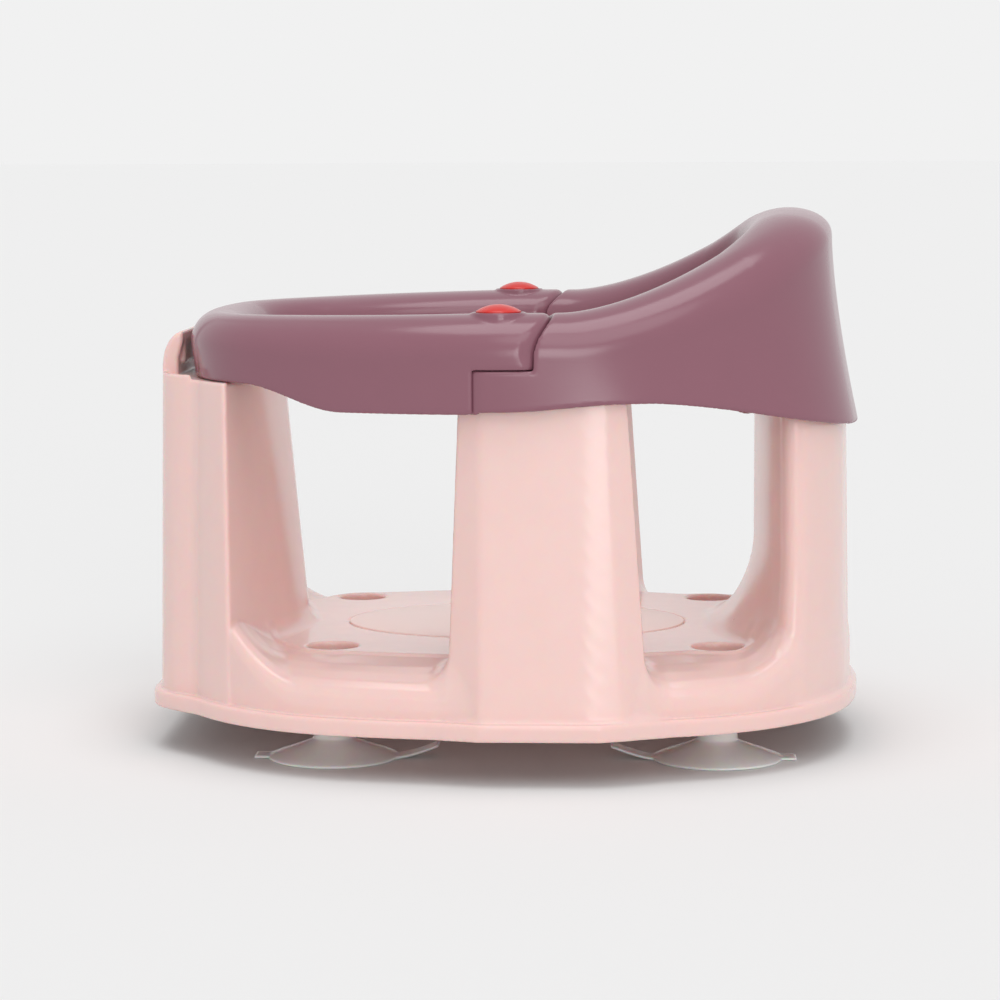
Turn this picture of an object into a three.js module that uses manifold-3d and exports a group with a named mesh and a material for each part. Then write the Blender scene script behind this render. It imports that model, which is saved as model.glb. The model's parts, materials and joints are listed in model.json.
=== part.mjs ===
// Baby bath seat: a moulded base with four posts, a two-part top ring, two release buttons and four
// suction cups. Millimetres, +Z up, +X towards the backrest, origin on the floor under the middle.

import * as THREE from 'three';
import { mergeVertices } from 'three/addons/utils/BufferGeometryUtils.js';
import Module from 'manifold-3d';

const wasm = await Module();
wasm.setup();

// Clearances and walls
const gap = 0.3;
const slideFit = 0.4;
const wall = 2.8;
const ringWall = 2.6;
const meshTolerance = 0.04;

// Base plan and heights
const basePlan = { centreX: 3, halfX: 172, halfY: 155, endRadius: 250, sideRadius: 300, cornerRadius: 120 };
const baseFront = basePlan.halfX - basePlan.centreX;
const baseRear = basePlan.halfX + basePlan.centreX;
const flangeBottom = 21.5;
const flangeHeight = 8.2;
const flangeReach = 4.5;
const skirtInset = 5.2;
const skirtHeight = 47.5;
const shoulderInset = 13;
const floorInset = 36;
const floorHeight = 55;
const sillRise = 0.8;

// Ring plan and heights. The ring is set in from the base by its setbacks.
const ringEndSetback = 12.3;
const ringSideSetback = 5.6;
const ringPlan = {
  centreX: 1.2,
  halfX: basePlan.halfX - ringEndSetback,
  halfY: basePlan.halfY - ringSideSetback,
  endRadius: 360,
  sideRadius: 205,
  cornerRadius: 88,
};
const ringRear = ringPlan.centreX + ringPlan.halfX;
const ringFront = ringPlan.halfX - ringPlan.centreX;
const ringWidth = 41;
const rollHeight = 13;
const frontTop = 214.8;
const lapTop = 217.8;
const crestHeight = 265;
const crestRun = 131;
const crestStartX = ringRear - crestRun;
const crestPower = 1.55;
const backFlare = 14;
const backFlarePower = 1.5;
const backFlareSpread = 1.5;
const guardFrontBottom = 183.6;
const guardSideBottom = 172;
const guardDipStartRun = 34.5;
const guardDipEndRun = 84.5;
const rearJointBottom = 173;
const rearSideBottom = 176.4;
const rearBackBottom = 161;
const outerFallRun = 91;
const innerSideBottom = 186;
const innerBackBottom = 156;
const innerFallStartRun = 101;
const innerFallEndRun = 43;

// Lap joints between the guard and the rear ring
const lapX = 0;
const lapPlane = 192.4;
const tongueRadius = 23.6;
const knuckleRadius = 24.9;

// Release button, its boss in the guard and its return spring
const bossTop = 218.6;
const bossWall = 1.5;
const bossUnder = 212.6;
const buttonRadius = 10.6;
const domeHeight = 3.4;
const buttonFlangeReach = 2.2;
const buttonFlangeHeight = 2;
const sleeveRadius = 6.5;
const sleeveWall = 1.2;
const sleeveLength = 16.9;
const springInner = 10.2;
const springOuter = 11.8;

// Latch housing under the button, its spigot and the clip in it
const housingRadius = 21.9;
const housingHalfWidth = 15.9;
const housingHeight = 3.5;
const spigotRadius = 9;
const spigotBore = 6.9;
const spigotDepth = 11;
const spigotFloor = 2;
const socketFloor = 1.5;
const socketWall = 2;
const grooveDepth = 2;
const grooveHeight = 4;
const windowWidth = 6.2;
const clipWidth = 5;
const clipArmX = 4.9;
const camRise = 3.4;
const clipThickness = 1;
const hookHeight = 2.6;
const hookReach = 1.3;
const latchScrewX = 17;
const latchScrewRadius = 1.3;
const latchScrewHead = 2.7;
const latchScrewHeadHeight = 1.7;
const latchScrewReach = 9;
const latchBossRadius = 3.4;

// Posts: outer edges, narrow inner noses and the tops under the ring
const frontEdgeSetback = 46;
const frontEdgeLean = 6;
const frontNoseFootRun = 72.2;
const frontNoseTopRun = 60.2;
const frontNoseHalf = 31;
const rearEdgeSetback = 46;
const rearNoseRun = 51.7;
const rearNoseHalf = 37;
const rearNoseSweep = 18;
const rearNoseSweepTop = 100;
const rearNoseSweepHeight = 45;
const noseRound = 6;
const postFootInset = 3.6;
const postTopInset = 6.4;
const rearSkinGap = 3.3;
const sideFrontX = -19.1;
const sideRearX = 60.1;
const panelFrontX = -8.5;
const panelRearX = 45;
const panelTopSetback = 13.5;
const panelFootReach = 1;
const panelTopY = basePlan.halfY - panelTopSetback;
const panelFootY = basePlan.halfY + panelFootReach;
const facetTopDepth = 4.5;
const facetFootDepth = 12;
const sideFrontSpread = 6;
const sideRearSpread = 10.5;
const bulgeReach = 5;
const bulgeDepth = 30;
const bulgeY = basePlan.halfY + bulgeReach;
const bulgeRun = [[76, -14], [62, -6], [47, 0], [-9, 0], [-24, -5.5], [-31, -10]];
const bulgeBack = bulgeY - bulgeDepth;
const sideNoseDepth = 42;
const sideNoseY = basePlan.halfY - sideNoseDepth;
const sideNoseInset = 10;
const footFlare = 12;
const footFlareHeight = 19;
const ledgeHeight = 183.3;
const neckTop = 177.8;
const rearNeckTop = 172;
const sideTowerTop = 195;
const sideTowerX = 28.6;
const rearTowerTop = 215;
const rearTowerHalf = 46;

// Raised panel on the front post, as its reach past the base's outline, half width and corners
const frontPanelReach = 6;
const frontPanelSetback = 70;
const frontPanelRound = 35.5;
const frontPanelDepth = 40;
const frontPanelX = baseFront + frontPanelReach;
const frontPanelHalf = basePlan.halfY - frontPanelSetback;

// Hood in front of the guard, as distance back from the raised panel's foot and height
const hoodHalfWidth = 49;
const hoodProfile = [[6.4, 180], [6.6, 184], [7.5, 191], [10.6, 198.5], [13.2, 201.6], [15.4, 203.2]];
const hoodWall = 2.6;

// The guard's locating tongue
const locatorRun = 8.6;
const locatorX = locatorRun - ringFront;
const locatorWidth = 24;
const locatorThickness = 3;
const locatorDepth = 9;

// Ring screws
const screwRadius = 1.9;
const screwHeadRadius = 3.8;
const screwHeadHeight = 2.6;
const screwBossRadius = 4.8;
const screwReach = 12;
const sideScrewX = 44;
const sideScrewSetback = 25.4;
const rearScrewSetback = 17.9;
const sideScrewY = ringPlan.halfY - sideScrewSetback;
const rearScrewX = ringRear - rearScrewSetback;
const rearScrewY = 32;

// Seat pad
const padCentreX = 3;
const padHalfX = 85;
const padHalfY = 61;
const padThickness = 1.4;
const padRise = 0.4;

// Suction cups and the wells that hold them
const cupFrontSetback = 86;
const cupRearSetback = 72;
const cupSideSetback = 71;
const cupFrontX = cupFrontSetback - baseFront;
const cupRearX = baseRear - cupRearSetback;
const cupY = basePlan.halfY - cupSideSetback;
const wellRadius = 12.1;
const wellWall = 2.4;
const wellBottom = 24;
const webHeight = 30;
const webThickness = 2.5;
const cupRadius = 31.5;
const cupRimWidth = 4;
const cupEdge = 1.2;
const cupDome = 9.6;
const cupHollow = 4.6;
const stemRadius = 9.8;
const neckRadius = 4.7;
const headRadius = 7.4;
const headHeight = 3.4;
const tabHalfWidth = 6;
const tabThickness = 1.4;
const tabOverlap = 2;
const outerTabReach = 6.5;
const innerTabReach = 20;
const innerTabLift = 6;

const pinkPlastic = new THREE.MeshStandardMaterial({ color: 0xf3d0c8, roughness: 0.3, metalness: 0 });
const mauvePlastic = new THREE.MeshStandardMaterial({ color: 0x9c6c80, roughness: 0.3, metalness: 0 });
const redPlastic = new THREE.MeshStandardMaterial({ color: 0xd83428, roughness: 0.25, metalness: 0 });
const padRubber = new THREE.MeshStandardMaterial({ color: 0xf2c9bf, roughness: 0.7, metalness: 0 });
const cupRubber = new THREE.MeshStandardMaterial({ color: 0xf4efe9, roughness: 0.35, metalness: 0 });
const whitePlastic = new THREE.MeshStandardMaterial({ color: 0xe9e7e2, roughness: 0.4, metalness: 0 });
const steel = new THREE.MeshStandardMaterial({ color: 0xb9bdc0, roughness: 0.3, metalness: 1 });

const seat = new THREE.Group();

// Solids and meshes

function solidOf(geometry) {
  const bare = geometry.clone();
  bare.deleteAttribute('normal');
  bare.deleteAttribute('uv');
  const merged = mergeVertices(bare, 1e-4);
  const mesh = new wasm.Mesh({
    numProp: 3,
    vertProperties: new Float32Array(merged.attributes.position.array),
    triVerts: new Uint32Array(merged.index.array),
  });
  return new wasm.Manifold(mesh);
}

function addMesh(name, solid, material) {
  const data = solid.simplify(meshTolerance).getMesh();
  const geometry = new THREE.BufferGeometry();
  geometry.setAttribute('position', new THREE.BufferAttribute(new Float32Array(data.vertProperties), 3));
  geometry.setIndex(new THREE.BufferAttribute(new Uint32Array(data.triVerts), 1));
  geometry.computeVertexNormals();
  const mesh = new THREE.Mesh(geometry, material);
  mesh.name = name;
  seat.add(mesh);
}

function joined(solids) {
  return solids.reduce((all, solid) => all.add(solid));
}

function box(lowX, lowY, lowZ, highX, highY, highZ) {
  const geometry = new THREE.BoxGeometry(highX - lowX, highY - lowY, highZ - lowZ);
  geometry.translate((lowX + highX) / 2, (lowY + highY) / 2, (lowZ + highZ) / 2);
  return solidOf(geometry);
}

function cylinder(x, y, lowZ, highZ, radius, sides = 24) {
  const geometry = new THREE.CylinderGeometry(radius, radius, highZ - lowZ, sides);
  geometry.rotateX(Math.PI / 2);
  geometry.translate(x, y, (lowZ + highZ) / 2);
  return solidOf(geometry);
}

// A turned solid from [radius, height] pairs that start and end on the axis
function turned(x, y, profile, sides = 24) {
  const geometry = new THREE.LatheGeometry(profile.map(([r, z]) => new THREE.Vector2(r, z)), sides);
  geometry.rotateX(Math.PI / 2);
  geometry.translate(x, y, 0);
  return solidOf(geometry);
}

// Triangles over a flat outline, wound the same way as the outline
function capTriangles(outline) {
  const flat = outline.map(([x, y]) => new THREE.Vector2(x, y));
  const facing = Math.sign(THREE.ShapeUtils.area(flat));
  return THREE.ShapeUtils.triangulateShape(flat, []).map(([a, b, c]) => {
    const turn = Math.sign(THREE.ShapeUtils.area([flat[a], flat[b], flat[c]]));
    return turn === facing ? [a, b, c] : [a, c, b];
  });
}

// A closed skin over sections of equal length. A loop joins the last section to the first, and an open
// run is capped at both ends, where capView flattens a section point to two coordinates.
function skin(sections, { loop = false, capView = ([x, y]) => [x, y] } = {}) {
  const count = sections[0].length;
  const positions = sections.flat(2);
  const index = [];
  const runs = loop ? sections.length : sections.length - 1;
  for (let i = 0; i < runs; i += 1) {
    const low = i * count;
    const high = ((i + 1) % sections.length) * count;
    for (let j = 0; j < count; j += 1) {
      const next = (j + 1) % count;
      index.push(low + j, low + next, high + next, low + j, high + next, high + j);
    }
  }
  if (!loop) {
    const top = (sections.length - 1) * count;
    for (const [a, b, c] of capTriangles(sections[0].map(capView))) index.push(a, c, b);
    for (const [a, b, c] of capTriangles(sections.at(-1).map(capView))) index.push(top + a, top + b, top + c);
  }
  const geometry = new THREE.BufferGeometry();
  geometry.setAttribute('position', new THREE.BufferAttribute(new Float32Array(positions), 3));
  geometry.setIndex(index);
  return solidOf(geometry);
}

// Plan outlines: an end arc, a corner arc and a side arc in each quarter, each tangent to the next

function planArcs(plan) {
  const end = [plan.halfX - plan.endRadius, 0];
  const side = [0, plan.halfY - plan.sideRadius];
  const endReach = plan.endRadius - plan.cornerRadius;
  const sideReach = plan.sideRadius - plan.cornerRadius;
  const span = Math.hypot(end[0] - side[0], end[1] - side[1]);
  const along = (endReach ** 2 - sideReach ** 2 + span ** 2) / (2 * span);
  const off = Math.sqrt(endReach ** 2 - along ** 2);
  const ux = (side[0] - end[0]) / span;
  const uy = (side[1] - end[1]) / span;
  const corner = [end[0] + along * ux - off * uy, end[1] + along * uy + off * ux];
  const endTurn = Math.atan2(corner[1] - end[1], corner[0] - end[0]);
  const sideTurn = Math.atan2(corner[1] - side[1], corner[0] - side[0]);
  return { end, side, corner, endTurn, sideTurn };
}

// The outline point whose outward normal has the given angle, moved in by the inset
function planPoint(plan, angle, inset) {
  const arcs = planArcs(plan);
  const nx = Math.cos(angle);
  const ny = Math.sin(angle);
  const turn = Math.atan2(Math.abs(ny), Math.abs(nx));
  let centre = arcs.corner;
  let radius = plan.cornerRadius;
  if (turn < arcs.endTurn) {
    centre = arcs.end;
    radius = plan.endRadius;
  } else if (turn > arcs.sideTurn) {
    centre = arcs.side;
    radius = plan.sideRadius;
  }
  const x = Math.sign(nx) * centre[0] + (radius - inset) * nx;
  const y = Math.sign(ny) * centre[1] + (radius - inset) * ny;
  return [plan.centreX + x, y];
}

// Normal angles once round the outline, evenly spaced along each arc
function planAngles(plan, endSteps, cornerSteps, sideSteps) {
  const { endTurn, sideTurn } = planArcs(plan);
  const quarter = [];
  for (let i = 0; i < endSteps; i += 1) quarter.push((endTurn * i) / endSteps);
  for (let i = 0; i < cornerSteps; i += 1) {
    quarter.push(endTurn + ((sideTurn - endTurn) * i) / cornerSteps);
  }
  for (let i = 0; i < sideSteps; i += 1) {
    quarter.push(sideTurn + ((Math.PI / 2 - sideTurn) * i) / sideSteps);
  }
  const back = quarter.slice(1).reverse().map((angle) => Math.PI - angle);
  const half = [...quarter, Math.PI / 2, ...back];
  return [...half, ...half.map((angle) => angle + Math.PI)];
}

// The normal angle in the first quarter at which the inset outline reaches a distance from the X axis
function angleAtY(plan, y, inset) {
  let low = 0;
  let high = Math.PI / 2;
  for (let i = 0; i < 40; i += 1) {
    const middle = (low + high) / 2;
    if (planPoint(plan, middle, inset)[1] < y) low = middle;
    else high = middle;
  }
  return (low + high) / 2;
}

function smooth(low, high, value) {
  const t = Math.max(0, Math.min(1, (value - low) / (high - low)));
  return t * t * (3 - 2 * t);
}

// Base: flange, skirt and seat floor

const baseAngles = planAngles(basePlan, 2, 6, 3);
const flangeTop = flangeBottom + flangeHeight;
const sillHeight = floorHeight + sillRise;

function stack(levels) {
  return skin(levels.map(([z, inset]) => baseAngles.map((angle) => [...planPoint(basePlan, angle, inset), z])));
}

function baseShell() {
  const outer = stack([
    [flangeBottom, 0],
    [flangeTop - 1.5, 0],
    [flangeTop, 1.5],
    [flangeTop + 0.2, flangeReach],
    [skirtHeight, skirtInset],
    [sillHeight - 2.5, skirtInset + 2.5],
    [sillHeight, shoulderInset],
    [sillHeight + 0.01, floorInset],
  ]);
  const inner = stack([
    [flangeBottom - 1, wall],
    [flangeTop - wall, wall],
    [flangeTop - wall + 1.5, flangeReach + wall],
    [skirtHeight - wall / 2, skirtInset + wall],
    [floorHeight - wall - 1, skirtInset + wall + 2.5],
    [floorHeight - wall, shoulderInset + wall],
  ]);
  const dish = stack([[floorHeight, floorInset + 1], [sillHeight + 1, floorInset - 1]]);
  return { outer: outer.subtract(dish), inner };
}

// Posts: the outer skin follows the base plan and slanted flanks run in to a narrower nose

function shrink(points, distance) {
  const count = points.length;
  const edgeNormal = (from, to) => {
    const dx = to[0] - from[0];
    const dy = to[1] - from[1];
    const length = Math.hypot(dx, dy);
    return [dy / length, -dx / length];
  };
  return points.map((point, i) => {
    const before = edgeNormal(points[(i + count - 1) % count], point);
    const after = edgeNormal(point, points[(i + 1) % count]);
    const reach = distance / (1 + before[0] * after[0] + before[1] * after[1]);
    return [point[0] - (before[0] + after[0]) * reach, point[1] - (before[1] + after[1]) * reach];
  });
}

// How far a post's foot spreads into the floor: a quarter of an ellipse, fading out below the floor
function flareAt(z) {
  if (z < floorHeight) return (footFlare * (z - flangeBottom)) / (floorHeight - flangeBottom);
  const down = 1 - Math.max(0, Math.min(1, (z - floorHeight) / footFlareHeight));
  return footFlare * (1 - Math.sqrt(1 - down ** 2));
}

function ringFlare(angle, share) {
  const facing = Math.max(0, Math.cos(angle)) ** backFlareSpread;
  return backFlare * facing * Math.max(0, share) ** backFlarePower;
}

// Distance in from the base outline to the front or rear post's outer skin
function frontSkin(angle, z) {
  const share = (z - flangeBottom) / (ledgeHeight - flangeBottom);
  return planPoint(basePlan, angle, postFootInset + (postTopInset - postFootInset) * share);
}

function rearSkin(angle, z) {
  const foot = planPoint(basePlan, angle, postFootInset);
  const shoulder = crestHeight - rollHeight;
  const flareShare = Math.min(1, (shoulder - z) / (shoulder - rearBackBottom));
  const top = planPoint(ringPlan, angle, ringWall + rearSkinGap - ringFlare(angle, flareShare));
  const share = Math.min(1, (z - flangeBottom) / (rearBackBottom - flangeBottom));
  return [foot[0] + (top[0] - foot[0]) * share, foot[1] + (top[1] - foot[1]) * share];
}

function endPostSection(skinAt, edgeY, noseX, noseHalf, z) {
  const flare = flareAt(z);
  const reach = angleAtY(basePlan, edgeY, postFootInset);
  const steps = 10;
  const outer = [];
  for (let i = 0; i <= steps; i += 1) outer.push(skinAt(-reach + (2 * reach * i) / steps, z));
  const nose = noseX - flare;
  const half = noseHalf + flare;
  const corner = [[noseRound, 0], [noseRound * 0.3, noseRound * 0.5], [0, noseRound * 1.2]];
  const left = corner.map(([dx, dy]) => [nose + dx, half - dy]);
  const right = corner.map(([dx, dy]) => [nose + dx, -half + dy]).reverse();
  return [...outer, ...left, ...right];
}

function frontPostSection(z) {
  const share = (z - flangeBottom) / (ledgeHeight - flangeBottom);
  const edgeY = basePlan.halfY - frontEdgeSetback - frontEdgeLean * share;
  const noseX = baseFront - frontNoseFootRun + (frontNoseFootRun - frontNoseTopRun) * share;
  const skinAt = (angle) => {
    const [x, y] = frontSkin(angle, z);
    return [x - 2 * basePlan.centreX, y];
  };
  return endPostSection(skinAt, edgeY, noseX, frontNoseHalf, z).map(([x, y]) => [-x, y]).reverse();
}

function rearPostSection(z) {
  const down = Math.max(0, Math.min(1, (rearNoseSweepTop - z) / rearNoseSweepHeight));
  const sweep = rearNoseSweep * (1 - Math.sqrt(1 - down ** 2)) - Math.min(flareAt(z), rearNoseSweep * down);
  const noseX = baseRear - rearNoseRun - Math.max(0, sweep);
  return endPostSection(rearSkin, basePlan.halfY - rearEdgeSetback, noseX, rearNoseHalf, z);
}

// Outline of the front post's raised panel, closed behind it
function frontPanel(inset) {
  const round = frontPanelRound - inset;
  const centreX = frontPanelRound - frontPanelX;
  const centreY = frontPanelHalf - frontPanelRound;
  const quarter = [0, 1, 2, 3, 4, 5].map((i) => (Math.PI / 2) * (i / 5));
  const near = quarter.map((turn) => [centreX - round * Math.sin(turn), -centreY - round * Math.cos(turn)]);
  const back = frontPanelDepth - frontPanelX;
  return [[back, inset - frontPanelHalf], ...near, ...near.map(([x, y]) => [x, -y]).reverse(),
    [back, frontPanelHalf - inset]].reverse();
}

function panelStack(levels) {
  return skin(levels.map(([z, inset]) => frontPanel(inset).map(([x, y]) => [x, y, z])));
}

function sidePostSection(side, z) {
  const flare = flareAt(z);
  const share = Math.min(1, (z - flangeBottom) / (neckTop - flangeBottom));
  const panelY = panelFootY + (panelTopY - panelFootY) * share;
  const edgeY = panelY - facetFootDepth + (facetFootDepth - facetTopDepth) * share;
  const frontX = sideFrontX - sideFrontSpread * (1 - share) - flare;
  const rearX = sideRearX + sideRearSpread * (1 - share) + flare;
  const points = [
    [rearX, edgeY],
    [panelRearX + 7, panelY - 1.5],
    [panelRearX, panelY],
    [panelFrontX, panelY],
    [frontX, edgeY],
    [frontX + sideNoseInset, sideNoseY + noseRound - flare],
    [frontX + sideNoseInset + noseRound, sideNoseY - flare],
    [rearX - sideNoseInset - noseRound, sideNoseY - flare],
    [rearX - sideNoseInset, sideNoseY + noseRound - flare],
  ];
  return side > 0 ? points : points.map(([x, y]) => [x, -y]).reverse();
}

// The flange's bulge round a side post's foot
function bulge(side, levels) {
  const run = bulgeRun.map(([x, dy]) => [x, bulgeY + dy]);
  const outline = [...run, [bulgeRun.at(-1)[0], bulgeBack], [bulgeRun[0][0], bulgeBack]];
  const points = side > 0 ? outline : outline.map(([x, y]) => [x, -y]).reverse();
  return skin(levels.map(([z, inset]) => shrink(points, inset).map(([x, y]) => [x, y, z])));
}

const footLevels = [0, 0.05, 0.15, 0.35, 0.6, 1].map((share) => floorHeight + footFlareHeight * share);

// A column and the hollow inside it, up to a closed roof
function column(sectionAt, topHeight) {
  const solidAt = (levels, inset) => skin(levels.map((z) => {
    const section = sectionAt(z);
    return (inset > 0 ? shrink(section, inset) : section).map(([x, y]) => [x, y, z]);
  }));
  const outer = solidAt([flangeBottom, ...footLevels, topHeight], 0);
  const inner = solidAt([flangeBottom - 1, ...footLevels, topHeight - wall], wall);
  return { outer, inner };
}

// The upper part of a column that stands up into the ring, kept to a box in plan
function tower(sectionAt, lowHeight, topHeight, low, high) {
  const levels = [lowHeight, topHeight];
  const body = skin(levels.map((z) => sectionAt(z).map(([x, y]) => [x, y, z])));
  const hollowLevels = [lowHeight - wall - 1, topHeight - wall];
  const hollow = skin(hollowLevels.map((z) => shrink(sectionAt(z), wall).map(([x, y]) => [x, y, z])));
  const outer = body.intersect(box(low[0], low[1], 0, high[0], high[1], topHeight + 1));
  const room = box(low[0] + wall, low[1] + wall, 0, high[0] - wall, high[1] - wall, topHeight);
  const inner = hollow.intersect(room);
  return { outer, inner };
}

function hood() {
  const back = hoodProfile.map(([inset, z]) => [inset + hoodWall, z]).reverse();
  const tip = hoodProfile.at(-1);
  back[0] = [tip[0] + hoodWall * 0.5, tip[1] - hoodWall * 0.85];
  const profile = [...hoodProfile, ...back];
  const sectionAt = (y) => profile.map(([inset, z]) => [inset - frontPanelX, y, z]);
  const sections = [hoodHalfWidth, -hoodHalfWidth].map(sectionAt);
  return skin(sections, { capView: ([x, , z]) => [x, z] });
}

const cupPlaces = [
  ['front_left', cupFrontX, cupY],
  ['front_right', cupFrontX, -cupY],
  ['rear_left', cupRearX, cupY],
  ['rear_right', cupRearX, -cupY],
];

const sideScrews = [[sideScrewX, sideScrewY], [sideScrewX, -sideScrewY]];
const rearScrews = [[rearScrewX, rearScrewY], [rearScrewX, -rearScrewY]];

function padSolid(lowZ, highZ, spare) {
  const geometry = new THREE.CylinderGeometry(1, 1, highZ - lowZ, 48);
  geometry.rotateX(Math.PI / 2);
  geometry.scale(padHalfX + spare, padHalfY + spare, 1);
  geometry.translate(padCentreX, 0, (lowZ + highZ) / 2);
  return solidOf(geometry);
}

function seatBase() {
  const shell = baseShell();
  const far = basePlan.halfX * 2;
  const parts = [
    shell,
    column(frontPostSection, ledgeHeight),
    {
      outer: panelStack([[flangeBottom, 0], [flangeTop - 1.5, 0], [flangeTop, 1.5]]),
      inner: panelStack([[flangeBottom - 1, wall], [flangeTop - wall, wall]]),
    },
    {
      outer: panelStack([[flangeTop - 1, postFootInset], [ledgeHeight, postTopInset]]),
      inner: panelStack([
        [flangeTop - wall - 1, postFootInset + wall],
        [ledgeHeight - wall, postTopInset + wall],
      ]),
    },
    column(rearPostSection, rearNeckTop),
    tower(rearPostSection, rearNeckTop - wall, rearTowerTop, [0, -rearTowerHalf], [far, rearTowerHalf]),
  ];
  for (const side of [1, -1]) {
    const section = (z) => sidePostSection(side, z);
    parts.push(column(section, neckTop));
    parts.push({
      outer: bulge(side, [[flangeBottom, 0], [flangeTop - 1.5, 0], [flangeTop, 1.5]]),
      inner: bulge(side, [[flangeBottom - 1, wall], [flangeTop - wall, wall]]),
    });
    parts.push(tower(section, neckTop - wall, sideTowerTop, [sideTowerX, -far], [far, far]));
  }
  const wells = cupPlaces.map(([, x, y]) => cylinder(x, y, wellBottom, floorHeight, wellRadius + wellWall));
  const webs = cupPlaces.map(([, x, y]) => cylinder(x, y, webHeight, webHeight + webThickness, wellRadius + 1));
  const bores = cupPlaces.map(([, x, y]) => cylinder(x, y, wellBottom - 1, sillHeight + 5, wellRadius));
  const necks = cupPlaces.map(([, x, y]) => cylinder(x, y, webHeight - 1, webHeight + webThickness + 1,
    neckRadius + gap, 24));
  const screwHole = (x, y, top) => cylinder(x, y, top - wall - 1, top + 1, screwRadius + gap, 12);
  const screwHoles = [
    ...sideScrews.map(([x, y]) => screwHole(x, y, sideTowerTop)),
    ...rearScrews.map(([x, y]) => screwHole(x, y, rearTowerTop)),
  ];
  const slotDepth = locatorThickness / 2 + slideFit;
  const slotHalf = locatorWidth / 2 + slideFit;
  const slot = box(locatorX - slotDepth, -slotHalf, ledgeHeight - wall - 1,
    locatorX + slotDepth, slotHalf, ledgeHeight + 1);
  const padRecess = padSolid(floorHeight + padRise - padThickness - gap, sillHeight + 1, gap);
  return joined(parts.map((part) => part.outer))
    .add(hood())
    .subtract(joined(parts.map((part) => part.inner)))
    .add(joined(wells))
    .subtract(joined(bores))
    .add(joined(webs))
    .subtract(joined(necks))
    .subtract(joined(screwHoles))
    .subtract(slot)
    .subtract(padRecess);
}

// Ring: an open-bottomed channel swept round the ring plan

const ringAngles = planAngles(ringPlan, 2, 7, 3);

function ridgeHeight(x) {
  const forward = Math.max(0, (lapX - x) / (ringFront - ringWidth / 2));
  const back = Math.max(0, (x - crestStartX) / (ringRear - ringWidth / 2 - crestStartX));
  const fall = (lapTop - frontTop) * Math.min(1, forward);
  return lapTop - fall + (crestHeight - lapTop) * Math.min(1, back) ** crestPower;
}

function outerBottom(x) {
  if (x < lapX) {
    const dip = smooth(guardDipStartRun - ringFront, guardDipEndRun - ringFront, x);
    return guardFrontBottom + (guardSideBottom - guardFrontBottom) * dip;
  }
  const rise = rearJointBottom + (rearSideBottom - rearJointBottom) * smooth(0, 60, x);
  const fallStart = ringRear - outerFallRun;
  const fall = Math.max(0, Math.min(1, (x - fallStart) / (ringRear + backFlare - fallStart))) ** 1.5;
  return rise + (rearBackBottom - rearSideBottom) * fall;
}

function innerBottom(x) {
  const fall = smooth(ringRear - innerFallStartRun, ringRear - innerFallEndRun, x);
  return innerSideBottom + (innerBackBottom - innerSideBottom) * fall;
}

// One filled channel section. A thickness moves it in and carries its foot down, for the hollow.
function ringSection(angle, thickness) {
  const ridge = ridgeHeight(planPoint(ringPlan, angle, ringWidth / 2)[0]);
  const shoulder = ridge - rollHeight;
  const outerLow = outerBottom(planPoint(ringPlan, angle, 0)[0]);
  const innerLow = innerBottom(planPoint(ringPlan, angle, ringWidth)[0]);
  const drop = thickness > 0 ? 30 : 0;
  const half = ringWidth / 2;
  const at = (inset, z) => [...planPoint(ringPlan, angle, inset), z];
  const outerAt = (z) => at(thickness - ringFlare(angle, (shoulder - z) / (shoulder - outerLow)), z);
  const points = [outerAt(outerLow - drop), outerAt((outerLow + shoulder) / 2)];
  const steps = thickness > 0 ? 6 : 8;
  for (let i = 0; i <= steps; i += 1) {
    const turn = (Math.PI * i) / steps;
    const rise = (rollHeight - thickness) * Math.sin(turn) ** 0.8;
    points.push(at(half - (half - thickness) * Math.cos(turn), shoulder + rise));
  }
  points.push(at(ringWidth - thickness, (innerLow + shoulder) / 2));
  points.push(at(ringWidth - thickness, innerLow - drop));
  return points.reverse();
}

function ringSolid(thickness) {
  return skin(ringAngles.map((angle) => ringSection(angle, thickness)), { loop: true });
}

const buttonY = ringPlan.halfY - ringWidth / 2;
const laps = [['left', buttonY], ['right', -buttonY]];
const far = 400;
const tongueTop = lapPlane - gap;

function knuckles(radius, low, high) {
  return joined(laps.map(([, y]) => cylinder(lapX, y, low, high, radius, 36)));
}

// The space that belongs to the guard, drawn in by a margin
function guardRegion(margin) {
  const low = box(-far, -far, 0, lapX, far, lapPlane).subtract(knuckles(tongueRadius + gap + margin, -1, far));
  const high = box(-far, -far, lapPlane, lapX, far, far);
  const ends = knuckles(knuckleRadius - margin, margin > 0 ? 0 : lapPlane, far);
  return joined([low, high, ends]);
}

function rearRegion(margin) {
  const top = tongueTop - margin;
  const low = box(lapX, -far, 0, far, far, top).add(knuckles(tongueRadius - margin, 0, top));
  const high = box(lapX, -far, top, far, far, far).subtract(knuckles(knuckleRadius + gap + margin, 0, far + 1));
  return low.add(high);
}

const ringOuter = ringSolid(0);
const ringInner = ringSolid(ringWall);

// Room for the side posts' tops where the ring's end walls cross them
const neckRoom = joined([1, -1].map((side) => {
  const section = shrink(sidePostSection(side, neckTop), -slideFit);
  return skin([neckTop - 20, neckTop + slideFit].map((z) => section.map(([x, y]) => [x, y, z])));
}));

function screwBosses(places, low, roofOver) {
  const bossAt = (x, y) => cylinder(x, y, low + gap, ridgeHeight(x) - roofOver, screwBossRadius, 16);
  const bosses = places.map(([x, y]) => bossAt(x, y));
  const holes = places.map(([x, y]) => cylinder(x, y, low, low + screwReach, screwRadius + gap, 12));
  return joined(bosses).subtract(joined(holes));
}

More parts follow.
